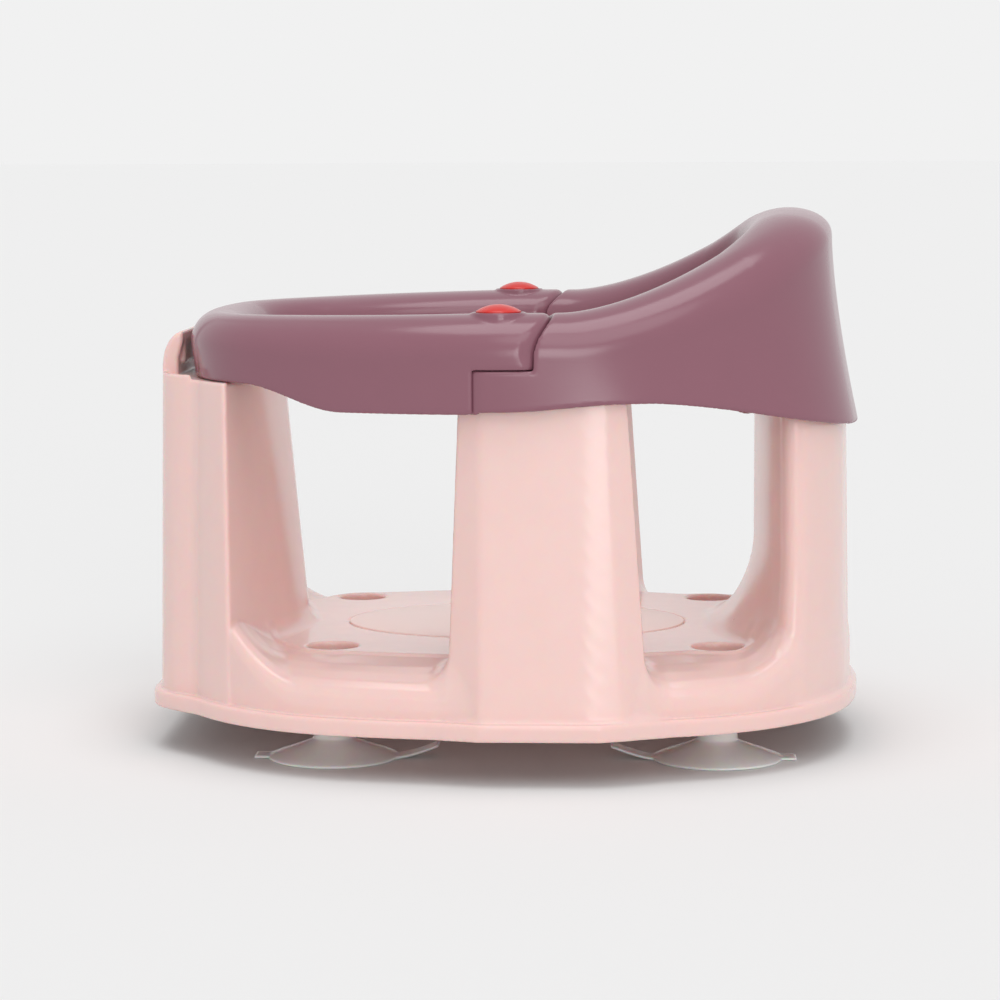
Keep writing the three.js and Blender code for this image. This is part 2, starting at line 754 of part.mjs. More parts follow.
function rearRing() {
  const grooveTop = tongueTop - ringWall;
  const socketRadius = spigotRadius + slideFit;
  const socketBottom = lapPlane - spigotDepth - gap;
  let ring = ringOuter.intersect(rearRegion(0)).subtract(ringInner.intersect(rearRegion(ringWall)));
  ring = ring.subtract(neckRoom);
  ring = ring.add(screwBosses(sideScrews, sideTowerTop, 1.5)).add(screwBosses(rearScrews, rearTowerTop, 1.5));
  for (const [, y] of laps) {
    const wellOuter = socketRadius + grooveDepth + socketWall;
    ring = ring
      .add(cylinder(lapX, y, socketBottom - socketFloor, grooveTop + 1, wellOuter))
      .subtract(cylinder(lapX, y, socketBottom, tongueTop + 1, socketRadius))
      .subtract(cylinder(lapX, y, grooveTop - grooveHeight, grooveTop, socketRadius + grooveDepth));
  }
  return ring;
}

function frontGuard() {
  let guard = ringOuter.intersect(guardRegion(0)).subtract(ringInner.intersect(guardRegion(ringWall)));
  guard = guard.subtract(neckRoom);
  const bossLow = lapPlane + housingHeight + gap;
  const pocketRadius = buttonRadius + buttonFlangeReach + slideFit;
  for (const [, y] of laps) {
    guard = guard
      .add(cylinder(lapX, y, bossUnder, bossTop, buttonRadius + slideFit + bossWall))
      .subtract(cylinder(lapX, y, bossUnder - 1, bossTop + 1, buttonRadius + slideFit))
      .subtract(cylinder(lapX, y, lapPlane + housingHeight, bossUnder, pocketRadius));
    for (const x of [-latchScrewX, latchScrewX]) {
      guard = guard
        .add(cylinder(x, y, bossLow, ridgeHeight(x) - 1.5, latchBossRadius, 16))
        .subtract(cylinder(x, y, bossLow - 1, bossLow + latchScrewReach, latchScrewRadius + gap, 12));
    }
  }
  const locator = box(locatorX - locatorThickness / 2, -locatorWidth / 2, ledgeHeight - locatorDepth,
    locatorX + locatorThickness / 2, locatorWidth / 2, frontTop - rollHeight / 3);
  return guard.add(locator);
}

// Release button: a dome on a sleeve, with a flange that stops it under the boss
function releaseButton(y) {
  const flangeTopZ = bossUnder - gap;
  const flangeLow = flangeTopZ - buttonFlangeHeight;
  const domeBase = bossTop;
  const dome = [];
  for (let i = 0; i <= 6; i += 1) {
    const turn = (Math.PI / 2) * (i / 6);
    dome.push([buttonRadius * Math.cos(turn), domeBase + domeHeight * Math.sin(turn)]);
  }
  dome[6] = [0, domeBase + domeHeight];
  return turned(lapX, y, [
    [0, flangeLow],
    [sleeveRadius - sleeveWall, flangeLow],
    [sleeveRadius - sleeveWall, flangeLow - sleeveLength],
    [sleeveRadius, flangeLow - sleeveLength],
    [sleeveRadius, flangeLow],
    [buttonRadius + buttonFlangeReach, flangeLow],
    [buttonRadius + buttonFlangeReach, flangeTopZ],
    [buttonRadius, flangeTopZ],
    ...dome,
  ]);
}

function buttonSpring(y) {
  const low = lapPlane + housingHeight + gap;
  const high = bossUnder - gap - buttonFlangeHeight - gap;
  return cylinder(lapX, y, low, high, springOuter).subtract(cylinder(lapX, y, low - 1, high + 1, springInner));
}

// Latch housing: the plate that closes the guard's end from below, with the spigot that plugs in
function latchHousing(y) {
  const plateLow = lapPlane + 0.1;
  const plateHigh = lapPlane + housingHeight;
  const spigotLow = lapPlane - spigotDepth;
  const hookLow = tongueTop - ringWall - gap - hookHeight;
  let housing = cylinder(lapX, y, plateLow, plateHigh, housingRadius, 32)
    .intersect(box(-far, y - housingHalfWidth, 0, far, y + housingHalfWidth, far))
    .add(cylinder(lapX, y, spigotLow, plateHigh, spigotRadius))
    .subtract(cylinder(lapX, y, spigotLow + spigotFloor, plateHigh + 1, spigotBore))
    .subtract(box(-far, y - windowWidth / 2, hookLow - 1, far, y + windowWidth / 2, plateLow - 0.5));
  for (const x of [-latchScrewX, latchScrewX]) {
    housing = housing
      .subtract(cylinder(x, y, plateLow - 1, plateHigh + 1, latchScrewRadius + gap, 12))
      .subtract(cylinder(x, y, plateLow - 1, plateLow + latchScrewHeadHeight + gap, latchScrewHead + gap, 16));
  }
  return housing;
}

// Latch clip: a bent strip whose two hooks reach through the spigot's windows under the tongue's plate.
// The button's sleeve comes down on the slopes above the hooks and draws them in.
function latchClip(y) {
  const floor = lapPlane - spigotDepth + spigotFloor + gap;
  const hookHigh = tongueTop - ringWall - gap;
  const innerX = clipArmX - clipThickness;
  const hookX = spigotRadius + slideFit + hookReach;
  const profile = [
    [innerX, floor + clipThickness],
    [innerX, hookHigh + camRise],
    [clipArmX, hookHigh + camRise],
    [clipArmX + camRise, hookHigh],
    [hookX, hookHigh],
    [hookX, hookHigh - 0.6],
    [clipArmX, hookHigh - hookHeight],
    [clipArmX, floor],
  ];
  const outline = [...profile, ...profile.map(([x, z]) => [-x, z]).reverse()];
  const shape = new THREE.Shape(outline.map(([x, z]) => new THREE.Vector2(x, z)));
  const geometry = new THREE.ExtrudeGeometry(shape, { depth: clipWidth, bevelEnabled: false });
  geometry.rotateX(Math.PI / 2);
  geometry.translate(lapX, y + clipWidth / 2, 0);
  return solidOf(geometry);
}

function screw(x, y, headLow, headHeight, headRadius, shankRadius, top) {
  return cylinder(x, y, headLow, headLow + headHeight, headRadius, 16)
    .add(cylinder(x, y, headLow + headHeight - 0.5, top, shankRadius, 10));
}

function latchScrew(x, y) {
  const top = lapPlane + housingHeight + gap + latchScrewReach - 1;
  return screw(x, y, lapPlane + 0.2, latchScrewHeadHeight, latchScrewHead, latchScrewRadius, top);
}

function ringScrew(x, y, towerTop) {
  const headLow = towerTop - wall - gap - screwHeadHeight;
  return screw(x, y, headLow, screwHeadHeight, screwHeadRadius, screwRadius, towerTop + screwReach - 1);
}

// Suction cup: a dished disc, a stem, a neck through the well's web and a head above it
function suctionCup(x, y, outward) {
  const headLow = webHeight + webThickness + gap;
  const cup = turned(x, y, [
    [0, cupHollow],
    [cupRadius * 0.35, cupHollow * 0.9],
    [cupRadius * 0.65, cupHollow * 0.5],
    [cupRadius - cupRimWidth, 0],
    [cupRadius, 0],
    [cupRadius, cupEdge],
    [cupRadius * 0.65, cupDome * 0.6],
    [stemRadius + 2.5, cupDome - 1],
    [stemRadius, cupDome + 1.5],
    [stemRadius, webHeight - gap],
    [neckRadius, webHeight - gap],
    [neckRadius, headLow],
    [headRadius, headLow],
    [headRadius, headLow + headHeight / 2],
    [headRadius * 0.7, headLow + headHeight],
    [0, headLow + headHeight],
  ]);
  const tab = (direction, reach, lift) => {
    const middle = [cupRadius + reach * 0.4, lift * 0.25];
    const places = [[cupRadius - tabOverlap, 0], middle, [cupRadius + reach, lift]];
    const low = gap;
    const sections = places.map(([out, rise]) => [
      [x + direction * out, y - tabHalfWidth, low + rise],
      [x + direction * out, y + tabHalfWidth, low + rise],
      [x + direction * out, y + tabHalfWidth, low + rise + tabThickness],
      [x + direction * out, y - tabHalfWidth, low + rise + tabThickness],
    ]);
    if (direction < 0) sections.forEach((section) => section.reverse());
    return skin(sections, { capView: ([, b, c]) => [b, c] });
  };
  return joined([cup, tab(outward, outerTabReach, 0), tab(-outward, innerTabReach, innerTabLift)]);
}

function build() {
  addMesh('seat_base', seatBase(), pinkPlastic);
  addMesh('seat_pad', padSolid(floorHeight + padRise - padThickness, floorHeight + padRise, 0), padRubber);
  addMesh('rear_ring', rearRing(), mauvePlastic);
  addMesh('front_guard', frontGuard(), mauvePlastic);
  for (const [side, y] of laps) {
    addMesh(`${side}_release_button`, releaseButton(y), redPlastic);
    addMesh(`${side}_button_spring`, buttonSpring(y), steel);
    addMesh(`${side}_latch_housing`, latchHousing(y), whitePlastic);
    addMesh(`${side}_latch_clip`, latchClip(y), steel);
    addMesh(`${side}_front_latch_screw`, latchScrew(-latchScrewX, y), steel);
    addMesh(`${side}_rear_latch_screw`, latchScrew(latchScrewX, y), steel);
    addMesh(`${side}_side_ring_screw`, ringScrew(sideScrewX, Math.sign(y) * sideScrewY, sideTowerTop), steel);
    addMesh(`${side}_rear_ring_screw`, ringScrew(rearScrewX, Math.sign(y) * rearScrewY, rearTowerTop), steel);
  }
  for (const [place, x, y] of cupPlaces) {
    addMesh(`${place}_suction_cup`, suctionCup(x, y, Math.sign(x)), cupRubber);
  }
}

build();

export default seat;
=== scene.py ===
import json
import math

import bpy
import numpy as np
from bpy.props import FloatProperty, FloatVectorProperty, PointerProperty
from mathutils import Matrix, Vector


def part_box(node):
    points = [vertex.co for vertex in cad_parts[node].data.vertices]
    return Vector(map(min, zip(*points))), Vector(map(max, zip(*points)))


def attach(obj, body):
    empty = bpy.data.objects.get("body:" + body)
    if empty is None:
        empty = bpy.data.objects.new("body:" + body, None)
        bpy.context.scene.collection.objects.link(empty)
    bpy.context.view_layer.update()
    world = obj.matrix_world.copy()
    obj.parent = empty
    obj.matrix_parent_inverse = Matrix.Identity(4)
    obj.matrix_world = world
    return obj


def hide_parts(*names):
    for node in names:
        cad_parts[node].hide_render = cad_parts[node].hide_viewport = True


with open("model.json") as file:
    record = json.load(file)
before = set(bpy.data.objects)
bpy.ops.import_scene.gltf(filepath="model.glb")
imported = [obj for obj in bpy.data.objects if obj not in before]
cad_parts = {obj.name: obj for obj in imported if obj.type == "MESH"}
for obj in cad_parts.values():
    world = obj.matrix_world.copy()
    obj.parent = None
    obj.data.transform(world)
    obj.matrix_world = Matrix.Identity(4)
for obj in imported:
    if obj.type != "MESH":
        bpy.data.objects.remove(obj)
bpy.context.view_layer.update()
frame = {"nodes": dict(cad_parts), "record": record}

bl_info = {
    "name": "Baby bath seat",
    "version": (1, 0, 0),
    "blender": (4, 5, 0),
    "location": "3D View > Sidebar > Bath seat",
    "description": "Builds a moulded baby bath seat round its packed frame",
    "category": "Object",
}

MM = 0.001

# Roundings of the mouldings' edges, from a cut slot's to a free rim's, in millimetres
FINE_EDGE = 0.3
SMALL_EDGE = 0.4
THIN_EDGE = 0.5
PLAIN_EDGE = 0.8
RIM_EDGE = 1.0

# Boxes in which the mouldings are worked out, for the half with y of 0 or more: low and high corners
BASE_GRID = ((-178, 0, 19), (178, 163, 217.5))
RING_GRID = ((-28, 0, 153), (176, 152, 268))
GUARD_GRID = ((-162, 0, 168), (30, 152, 221))

# Outlines seen from above, in millimetres: an end arc, a corner arc and a side arc in each quarter
BASE_PLAN = {"centre_x": 3, "half_x": 172, "half_y": 155, "end": 250, "side": 300, "corner": 120}
RING_PLAN = {"centre_x": 1.2, "half_x": 159.7, "half_y": 149.4, "end": 360, "side": 205, "corner": 88}
RING_FRONT = RING_PLAN["half_x"] - RING_PLAN["centre_x"]
RING_REAR = RING_PLAN["half_x"] + RING_PLAN["centre_x"]

# Flange of the base, and the skirt that rolls over to the seat floor, as distance in and height
FLANGE_LOW = 21.5
FLANGE_TOP = 29.7
FLANGE_ROUND = 1.4
SKIRT = [(4.8, -80), (5, 34), (5.9, 39.2), (8.2, 43.2), (12, 46.5), (18, 49.3), (26, 51.5), (40.5, 53.9)]
FLOOR_INSET = 42
FLOOR_BLEND = (18, 30)
SKIRT_SOFTNESS = 1.5

# The flange's bulge round a side post's foot, as points of its outline
BULGE = [(82, 130), (76, 146), (62, 154), (47, 160), (-9, 160), (-24, 154.5), (-31, 150), (-37, 130)]
BULGE_FILLET = 5

# Fillets where the posts and the raised panel stand on the base: two radii and the places that they hold at,
# as the distance in from the outline or, for the panel and the side posts, from the middle line
PANEL_FILLET = ((3, 9), (30, 60))
FRONT_FILLET = ((0.5, 8.5), (20, 45))
REAR_FILLET = ((4, 10), (6, 20))
SIDE_FILLET = ((2, 13), (153, 141))

# Skins of the front and rear posts, as distance in from the outline at the foot and at the ledge
POST_FOOT_INSET = 3.6
POST_TOP_INSET = 6.4
POST_NOSE_ROUND = 7

# Front post: its edges, its nose, and the raised panel on it
FRONT_EDGE_Y = (109, 103)
FRONT_NOSE_X = (-99.5, -114.4)
FRONT_NOSE_Y = 18
PANEL_HALF = 85
PANEL_ROUND = 35.5
PANEL_X = -175
PANEL_BACK_X = -135
FRONT_SKIN_ROUND = 2.5

# The margin climbs to the end posts' flanks, and the climb fades between two distances in from the outline.
# A ramp has its rise, its reach from the post at those two distances, and the power of its curve. The
# distance to a post is taken at a height above the floor.
RAMP_FADE = (6, 46)
FRONT_RAMP = (26, (42, 12), 1.6)
REAR_RAMP = (15, (34, 12), 2)
RAMP_LEVEL = 10

# A rim round the ledge of the front post, outside the guard
RIM_RISE = 2.3
RIM_WIDTH = 2.4
RIM_CLEARANCE = 3

# Hood over the front post: distance back from the panel's foot and height, with a notch over the ledge
HOOD_HALF = 49
HOOD = [(5.9, 170), (5.9, 188), (6.3, 192.5), (7.3, 196.5), (9.2, 200.4), (11.2, 202.8), (13.7, 204.6),
        (16, 205.6), (16, 200.3), (15, 196.6), (13.7, 191.7), (13.7, 170)]
HOOD_BACK_HALF = 40
HOOD_BACK = [(12, 189), (16, 189), (16, 201), (12, 201)]

# Rear post. Its nose sweeps forward to the floor in an arc: by how much, from which height down, over which
# height, and the sine of the arc's turn.
REAR_EDGE_Y = 109
REAR_NOSE_X = 123.3
REAR_NOSE_Y = 37
REAR_SWEEP = (18, 100, 45, 0.75)
REAR_SKIN_INSET = 5.9
REAR_SKIN_ROUND = 13
TOWER_ROUND = 0.6
REAR_TOP = 172
REAR_BACK_LOW = 161
REAR_TOWER = (215, 46)

# Side posts: pairs are at the flange and at the top. Between panel and rear edge the face has a bend, at a
# distance behind the panel and at a share of the way in from the panel to the edges.
SIDE_TOP = 177.8
SIDE_TOWER = (195, 28.6)
SIDE_NOSE_Y = 113
SIDE_NOSE_ROUND = 6
SIDE_PANEL_Y = (156, 141.5)
SIDE_EDGE_DEPTH = (12, 4.5)
SIDE_FRONT_X = (-25.1, -19.1)
SIDE_REAR_X = (70.6, 60.1)
SIDE_PANEL_X = (-8.5, 45)
SIDE_BEND_RUN = (15, 7)
SIDE_BEND_SHARE = 0.25
SIDE_FLANK_LEAN = 10
SIDE_FACE_ROUND = 1.2
SIDE_EDGE_ROUND = 1.6

# Heights of the ring's lower edges: the guard's dips behind the front, and the rear ring's rises a little at
# the sides and then falls to the back
GUARD_LOW = (183.6, 172)
GUARD_DIP = (34.5, 84.5)
REAR_LOW = (173, 176.4)
REAR_LOW_RUN = 60
RING_FALL_RUN = 91
RING_FALL_POWER = 1.5
RING_REAR_LOW = 159.3
INNER_LOW = (186, 163)
INNER_FALL = (71, 119)
CREST_POWER = 1.59
FLARE_POWER = 1.5

# Height of the ring's rounded top on its outer side, at places along x, and how full its curve is
OUTER_ROLL = ((-160, 17), (-60, 20), (60, 20), (93, 22), (120, 25), (141, 21), (161, 13))
ROLL_POWER = 2.2

# The guard's side face lies a little deeper than its front and its top edge, which a fine crease parts
FACE_X = -150
FACE_BELOW_RIDGE = 2.6
FACE_ROUND = 14
FACE_DEPTH = 0.5
FACE_STEP = 0.7
FACE_FADE = (-60, -20)

# The ring is narrower at the front, and the guard's foot is drawn in there: by how much, and the powers of
# the outline's forward turn that they follow
FRONT_NARROWING = 13
NARROWING_POWER = 3
FRONT_TUCK = 3
TUCK_POWER = 6

# Laps between guard and rear ring
LAP_Y = 128.9
LAP_PLANE = 192.4
LAP_GAP = 0.3
LAP_STEP_X = -9
TONGUE_R = 21.8
KNUCKLE_R = 24.9
KNUCKLE_GAP = 0.9
LAP_ROUND = 1.1

# Above the lap the seam widens to these roundings, over these heights and places along x
GUARD_SEAM_ROUND = 3.6
REAR_SEAM_ROUND = 1.6
SEAM_RISE = (1, 7)
SEAM_X = (8, 12)

# Boss of a button in the guard, and the socket under the rear ring's tongue: radii and depths under the lap
BOSS_R = 12.5
BOSS_TOP = 218.6
BOSS_UNDER = 212.6
BOSS_ROUND = 0.9
BORE_ROUND = 0.7
BUTTON_PLAY = 0.5
SOCKET_R = (9.4, 13.4)
SOCKET_DEPTH = (12.5, 14)
SOCKET_TOP = 2.4

# A button cap: its flange's overhang and thickness, how far it reaches under the boss and stands out on top
CAP_FLANGE = (2.1, 1.9)
CAP_DROP = 2.3
CAP_RISE = 0.4
CAP_RINGS = 9

# The guard's locating tongue, from under the guard's top to below the ledge, and its slot in the front post
TONGUE_X = -149.9
TONGUE_HALF = (1.5, 12)
TONGUE_HEAD = 4.8
TONGUE_DROP = 9
SLOT_HALF = (1.9, 12.4)
SLOT_DEPTH = 6

# Wells over the suction cups, each with a web low in it that holds the cup's head
WELLS = ((-83, 84), (103, 84))
WELL_BORE = 12.1
WELL_OUTER = 14.5
WELL_LAND = 15.5
WELL_BLEND = 8
WELL_LOW = 24
WEB = (30, 32.5)
WEB_BORE = 5

# Seat pad: its recess in the floor, and its thickness, of which this much stands above the floor
PAD_RECESS = 1.3
PAD_THICKNESS = 1.4
PAD_RISE = 0.4

# A suction cup's cross-section as radius and height, the box and the step of its grid, and its pull ears as
# direction, reach and lift
CUP_PROFILE = [(-1, 4.6), (10, 4.2), (20, 2.6), (27.5, 0.15), (31.5, 0.15), (31.5, 1.3), (29, 2.4),
               (20, 5.6), (12, 8.6), (9.8, 9.9), (9.8, 29.7), (4.7, 29.7), (4.7, 32.8), (7.4, 32.8),
               (7.4, 34.5), (5, 36.2), (-1, 36.2)]
CUP_RADIUS = 31.5
CUP_GRID = ((-54, 0, -1.5), (54, 34, 38.5))
CUP_STEP = 0.7
CUP_SOFTNESS = 0.3
EARS = ((-1, 6.5, 0), (1, 20, 6))
EAR_HALF = 6
EAR_ROOT = 27
EAR_MIDDLE = 1
EAR_HALF_THICKNESS = 0.7
EAR_CURL = 1.4
EAR_FILLET = 0.6


def size_field(name, description, default):
    return FloatProperty(name=name, description=description, default=default, min=0, unit="LENGTH")


def linear(text):
    """An sRGB hex colour as linear red, green and blue."""
    parts = [int(text[i:i + 2], 16) / 255 for i in (0, 2, 4)]
    return [c / 12.92 if c <= 0.04045 else ((c + 0.055) / 1.055) ** 2.4 for c in parts]


def colour_field(name, description, default):
    return FloatVectorProperty(name=name, description=description, default=linear(default), size=3,
                               min=0, max=1, subtype="COLOR")


class BathSeatSizes(bpy.types.PropertyGroup):
    """Sizes of the seat."""
    floor: size_field("Seat floor", "Height of the seat floor above the bath", 0.055)
    ledge: size_field("Ledge", "Height of the front post's top, under the guard", 0.1833)
    wall: size_field("Base wall", "Wall of the base moulding", 0.0028)
    ring_wall: size_field("Ring wall", "Wall of the ring mouldings", 0.0026)
    ring_width: size_field("Ring width", "Width of the ring's channel", 0.041)
    roll: size_field("Ring roll", "Height of the ring's rounded top", 0.013)
    front_top: size_field("Guard top", "Height of the guard's top at the front", 0.2148)
    lap_top: size_field("Lap top", "Height of the ring at the laps", 0.2178)
    crest: size_field("Crest", "Height of the backrest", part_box("rear_ring")[1][2] - 0.001)
    crest_start: size_field("Crest start", "How far behind the middle the backrest starts to rise", 0.0299)
    back_flare: size_field("Back flare", "How far the backrest's foot leans out", 0.0136)
    button: size_field("Button radius", "Radius of a release button", 0.0105)
    dome: size_field("Button dome", "Rise of a release button's dome", 0.003)
    pad_length: size_field("Pad length", "Length of the seat pad", 0.17)
    pad_width: size_field("Pad width", "Width of the seat pad", 0.122)
    step: size_field("Mesh step", "Grid spacing on which the mouldings are meshed", 0.001)


class BathSeatColours(bpy.types.PropertyGroup):
    """Colours of the seat and its surroundings."""
    pink: colour_field("Base", "Plastic of the base moulding", "f3d0ca")
    mauve: colour_field("Ring", "Plastic of the guard and the backrest ring", "8c5b69")
    red: colour_field("Buttons", "Plastic of the release buttons", "d6160a")
    pad: colour_field("Pad", "Rubber of the seat pad", "fbe4de")
    milky: colour_field("Cups", "Soft plastic of the suction cups", "fffaf5")
    white: colour_field("Latch housings", "Plastic inside the latches", "e9e7e2")
    steel: colour_field("Steel", "Springs, clips and screws", "b9bdc0")
    ground: colour_field("Background", "Floor and surroundings", "f1f1f1")


def sizes():
    """The panel's sizes in millimetres."""
    group = bpy.context.scene.bath_seat_sizes
    return {key: getattr(group, key) / MM for key in BathSeatSizes.__annotations__}


# Outlines

def plan_arcs(plan):
    """Centres of the arcs in the first quarter, and the angles at which one arc passes into the next."""
    end = plan["half_x"] - plan["end"]
    side = plan["half_y"] - plan["side"]
    end_reach = plan["end"] - plan["corner"]
    side_reach = plan["side"] - plan["corner"]
    span = math.hypot(end, side)
    along = (end_reach ** 2 - side_reach ** 2 + span ** 2) / (2 * span)
    off = math.sqrt(end_reach ** 2 - along ** 2)
    ux, uy = -end / span, side / span
    corner = (end + along * ux - off * uy, along * uy + off * ux)
    end_turn = math.atan2(corner[1], corner[0] - end)
    side_turn = math.atan2(corner[1] - side, corner[0])
    return end, side, corner, end_turn, side_turn


def plan_map(plan, x, y):
    """Distance in from an outline, and the outline's outward normal, at points with y of 0 or more."""
    end, side, corner, end_turn, side_turn = plan_arcs(plan)
    px = np.abs(x - plan["centre_x"])
    by_end = np.arctan2(y, px - end) < end_turn
    by_side = np.arctan2(y - side, px) > side_turn
    cx = np.where(by_end, end, np.where(by_side, 0, corner[0]))
    cy = np.where(by_end, 0, np.where(by_side, side, corner[1]))
    radius = np.where(by_end, plan["end"], np.where(by_side, plan["side"], plan["corner"]))
    reach = np.maximum(np.hypot(px - cx, y - cy), 1e-6)
    nx = (px - cx) / reach * np.where(x < plan["centre_x"], -1, 1)
    return (radius - reach).astype(np.float32), nx.astype(np.float32)


def point_at_y(plan, y, inset):
    """How far the inset outline reaches along x, from its centre, at a distance y from the middle line."""
    end, side, corner, end_turn, side_turn = plan_arcs(plan)
    arcs = ((end, 0, plan["end"]), (corner[0], corner[1], plan["corner"]), (0, side, plan["side"]))
    turns = (0, end_turn, side_turn, math.pi / 2)
    for (cx, cy, radius), low, high in zip(arcs, turns, turns[1:]):
        rise = (y - cy) / (radius - inset)
        if abs(rise) <= 1 and low - 1e-6 <= math.asin(rise) <= high + 1e-6:
            return cx + (radius - inset) * math.cos(math.asin(rise))
    raise ValueError("the outline doesn't reach that far")


# Shapes as distance fields, negative inside

def both(a, b, r):
    """Space in both a and b, with the edge between them rounded to r."""
    u = np.maximum(a + r, 0)
    v = np.maximum(b + r, 0)
    return np.minimum(-r, np.maximum(a, b)) + np.hypot(u, v)


def either(a, b, r):
    """Space in a or b, with a fillet of radius r where they meet."""
    u = np.maximum(r - a, 0)
    v = np.maximum(r - b, 0)
    return np.maximum(r, np.minimum(a, b)) - np.hypot(u, v)


def less(a, b, r):
    """Space in a that isn't in b."""
    return both(a, -b, r)


def line_distance(points, x, y):
    """Distance to a run of straight lines."""
    best = np.full(np.broadcast(x, y).shape, np.inf)
    for (ax, ay), (bx, by) in zip(points, points[1:]):
        dx, dy = bx - ax, by - ay
        t = np.clip(((x - ax) * dx + (y - ay) * dy) / (dx * dx + dy * dy), 0, 1)
        best = np.minimum(best, (x - ax - t * dx) ** 2 + (y - ay - t * dy) ** 2)
    return np.sqrt(best)


def polygon(points, x, y):
    """Distance to a closed outline."""
    inside = np.zeros(np.broadcast(x, y).shape, bool)
    closed = points + points[:1]
    for (ax, ay), (bx, by) in zip(closed, closed[1:]):
        if by != ay:
            inside ^= ((ay > y) != (by > y)) & (x < ax + (y - ay) * (bx - ax) / (by - ay))
    return line_distance(closed, x, y) * np.where(inside, -1, 1)


def profile_field(points, u, z, softness):
    """A cross-section in (distance in, height), carried over a map of distances in and softened."""
    step = 0.25
    table_u = np.arange(max(u.min(), -12), min(u.max(), 60) + step, step)
    table = polygon(points, table_u[:, None], z[None, :])
    spread = max(1, round(softness / step))
    kernel = np.hanning(2 * spread + 3)[1:-1]
    kernel /= kernel.sum()
    padded = np.pad(table, ((spread, spread), (0, 0)), mode="edge")
    table = sum(k * padded[i:i + len(table_u)] for i, k in enumerate(kernel))
    out = np.empty(u.shape + z.shape, np.float32)
    for i in range(len(z)):
        out[..., i] = np.interp(u, table_u, table[:, i])
    return out


def plane(x, y, ax, ay, bx, by):
    """Distance to the right of a line that runs from a to b."""
    dx, dy = bx - ax, by - ay
    return ((x - ax) * dy - (y - ay) * dx) / np.hypot(dx, dy)


def smooth(low, high, value):
    t = np.clip((value - low) / (high - low), 0, 1)
    return t * t * (3 - 2 * t)


def ramp(low, high, value):
    return np.clip((value - low) / (high - low), 0, 1)


def between(pair, share):
    return pair[0] + (pair[1] - pair[0]) * share


def grading(fillet, place):
    """A radius that goes from one value to another between two places."""
    radii, places = fillet
    return between(radii, ramp(places[0], places[1], place))


# Meshes

def surface(field, low, step):
    """Closed quad mesh round the negative part of a field on a grid."""
    inside = field < 0
    shape = tuple(n - 1 for n in field.shape)
    count = np.zeros(shape, np.int8)
    corners = [(i, j, k) for i in (0, 1) for j in (0, 1) for k in (0, 1)]
    for i, j, k in corners:
        count += inside[i:i + shape[0], j:j + shape[1], k:k + shape[2]]
    active = (count > 0) & (count < 8)
    cells = np.argwhere(active)
    ids = np.full(shape, -1, np.int32)
    ids[active] = np.arange(len(cells))
    total = np.zeros((len(cells), 3))
    hits = np.zeros(len(cells))
    for axis in range(3):
        for corner in corners:
            if corner[axis]:
                continue
            other = list(corner)
            other[axis] = 1
            a = field[tuple((cells + corner).T)]
            b = field[tuple((cells + other).T)]
            cut = (a < 0) != (b < 0)
            point = np.tile(np.array(corner, float), (int(cut.sum()), 1))
            point[:, axis] += a[cut] / (a[cut] - b[cut])
            total[cut] += point
            hits[cut] += 1
    verts = (cells + total / hits[:, None]) * step + low
    quads = []
    for axis in range(3):
        u, v = (axis + 1) % 3, (axis + 2) % 3
        first = [slice(None)] * 3
        second = [slice(None)] * 3
        first[axis] = slice(0, -1)
        second[axis] = slice(1, None)
        at = np.argwhere(inside[tuple(first)] != inside[tuple(second)])
        at = at[(at[:, u] > 0) & (at[:, v] > 0) & (at[:, u] < shape[u]) & (at[:, v] < shape[v])]
        du = np.zeros(3, int)
        dv = np.zeros(3, int)
        du[u] = 1
        dv[v] = 1
        corners_of_quad = (at - du - dv, at - dv, at, at - du)
        quad = np.stack([ids[tuple(c.T)] for c in corners_of_quad], 1)
        flip = ~inside[tuple(at.T)]
        quad[flip] = quad[flip][:, ::-1]
        quads.append(quad)
    return verts, np.concatenate(quads)


def grid(low, high, step):
    """Axes of a half grid whose y starts at 0."""
    x = np.arange(low[0], high[0] + step, step, dtype=np.float32)
    y = np.arange(0, high[1] + step, step, dtype=np.float32)
    z = np.arange(low[2], high[2] + step, step, dtype=np.float32)
    return x, y, z


def place_mesh(name, mesh, finish):
    """A smooth-shaded object for a mesh, in the scene."""
    mesh.validate()
    mesh.shade_smooth()
    mesh.materials.append(finish)
    piece = bpy.data.objects.new(name, mesh)
    bpy.context.scene.collection.objects.link(piece)
    return piece


def field_piece(name, half, low, step, finish):
    """A symmetrical piece from its field over y of 0 or more."""
    full = np.concatenate((half[:, :0:-1], half), axis=1)
    verts, faces = surface(full, np.array([low[0], -(half.shape[1] - 1) * step, low[2]]), step)
    faces = np.asarray(faces, np.int32)
    mesh = bpy.data.meshes.new(name)
    mesh.vertices.add(len(verts))
    mesh.vertices.foreach_set("co", (np.asarray(verts, np.float32) * MM).ravel())
    mesh.loops.add(faces.size)
    mesh.loops.foreach_set("vertex_index", faces.ravel())
    mesh.polygons.add(len(faces))
    mesh.polygons.foreach_set("loop_start", np.arange(0, faces.size, 4, dtype=np.int32))
    mesh.update(calc_edges=True)
    return place_mesh(name, mesh, finish)


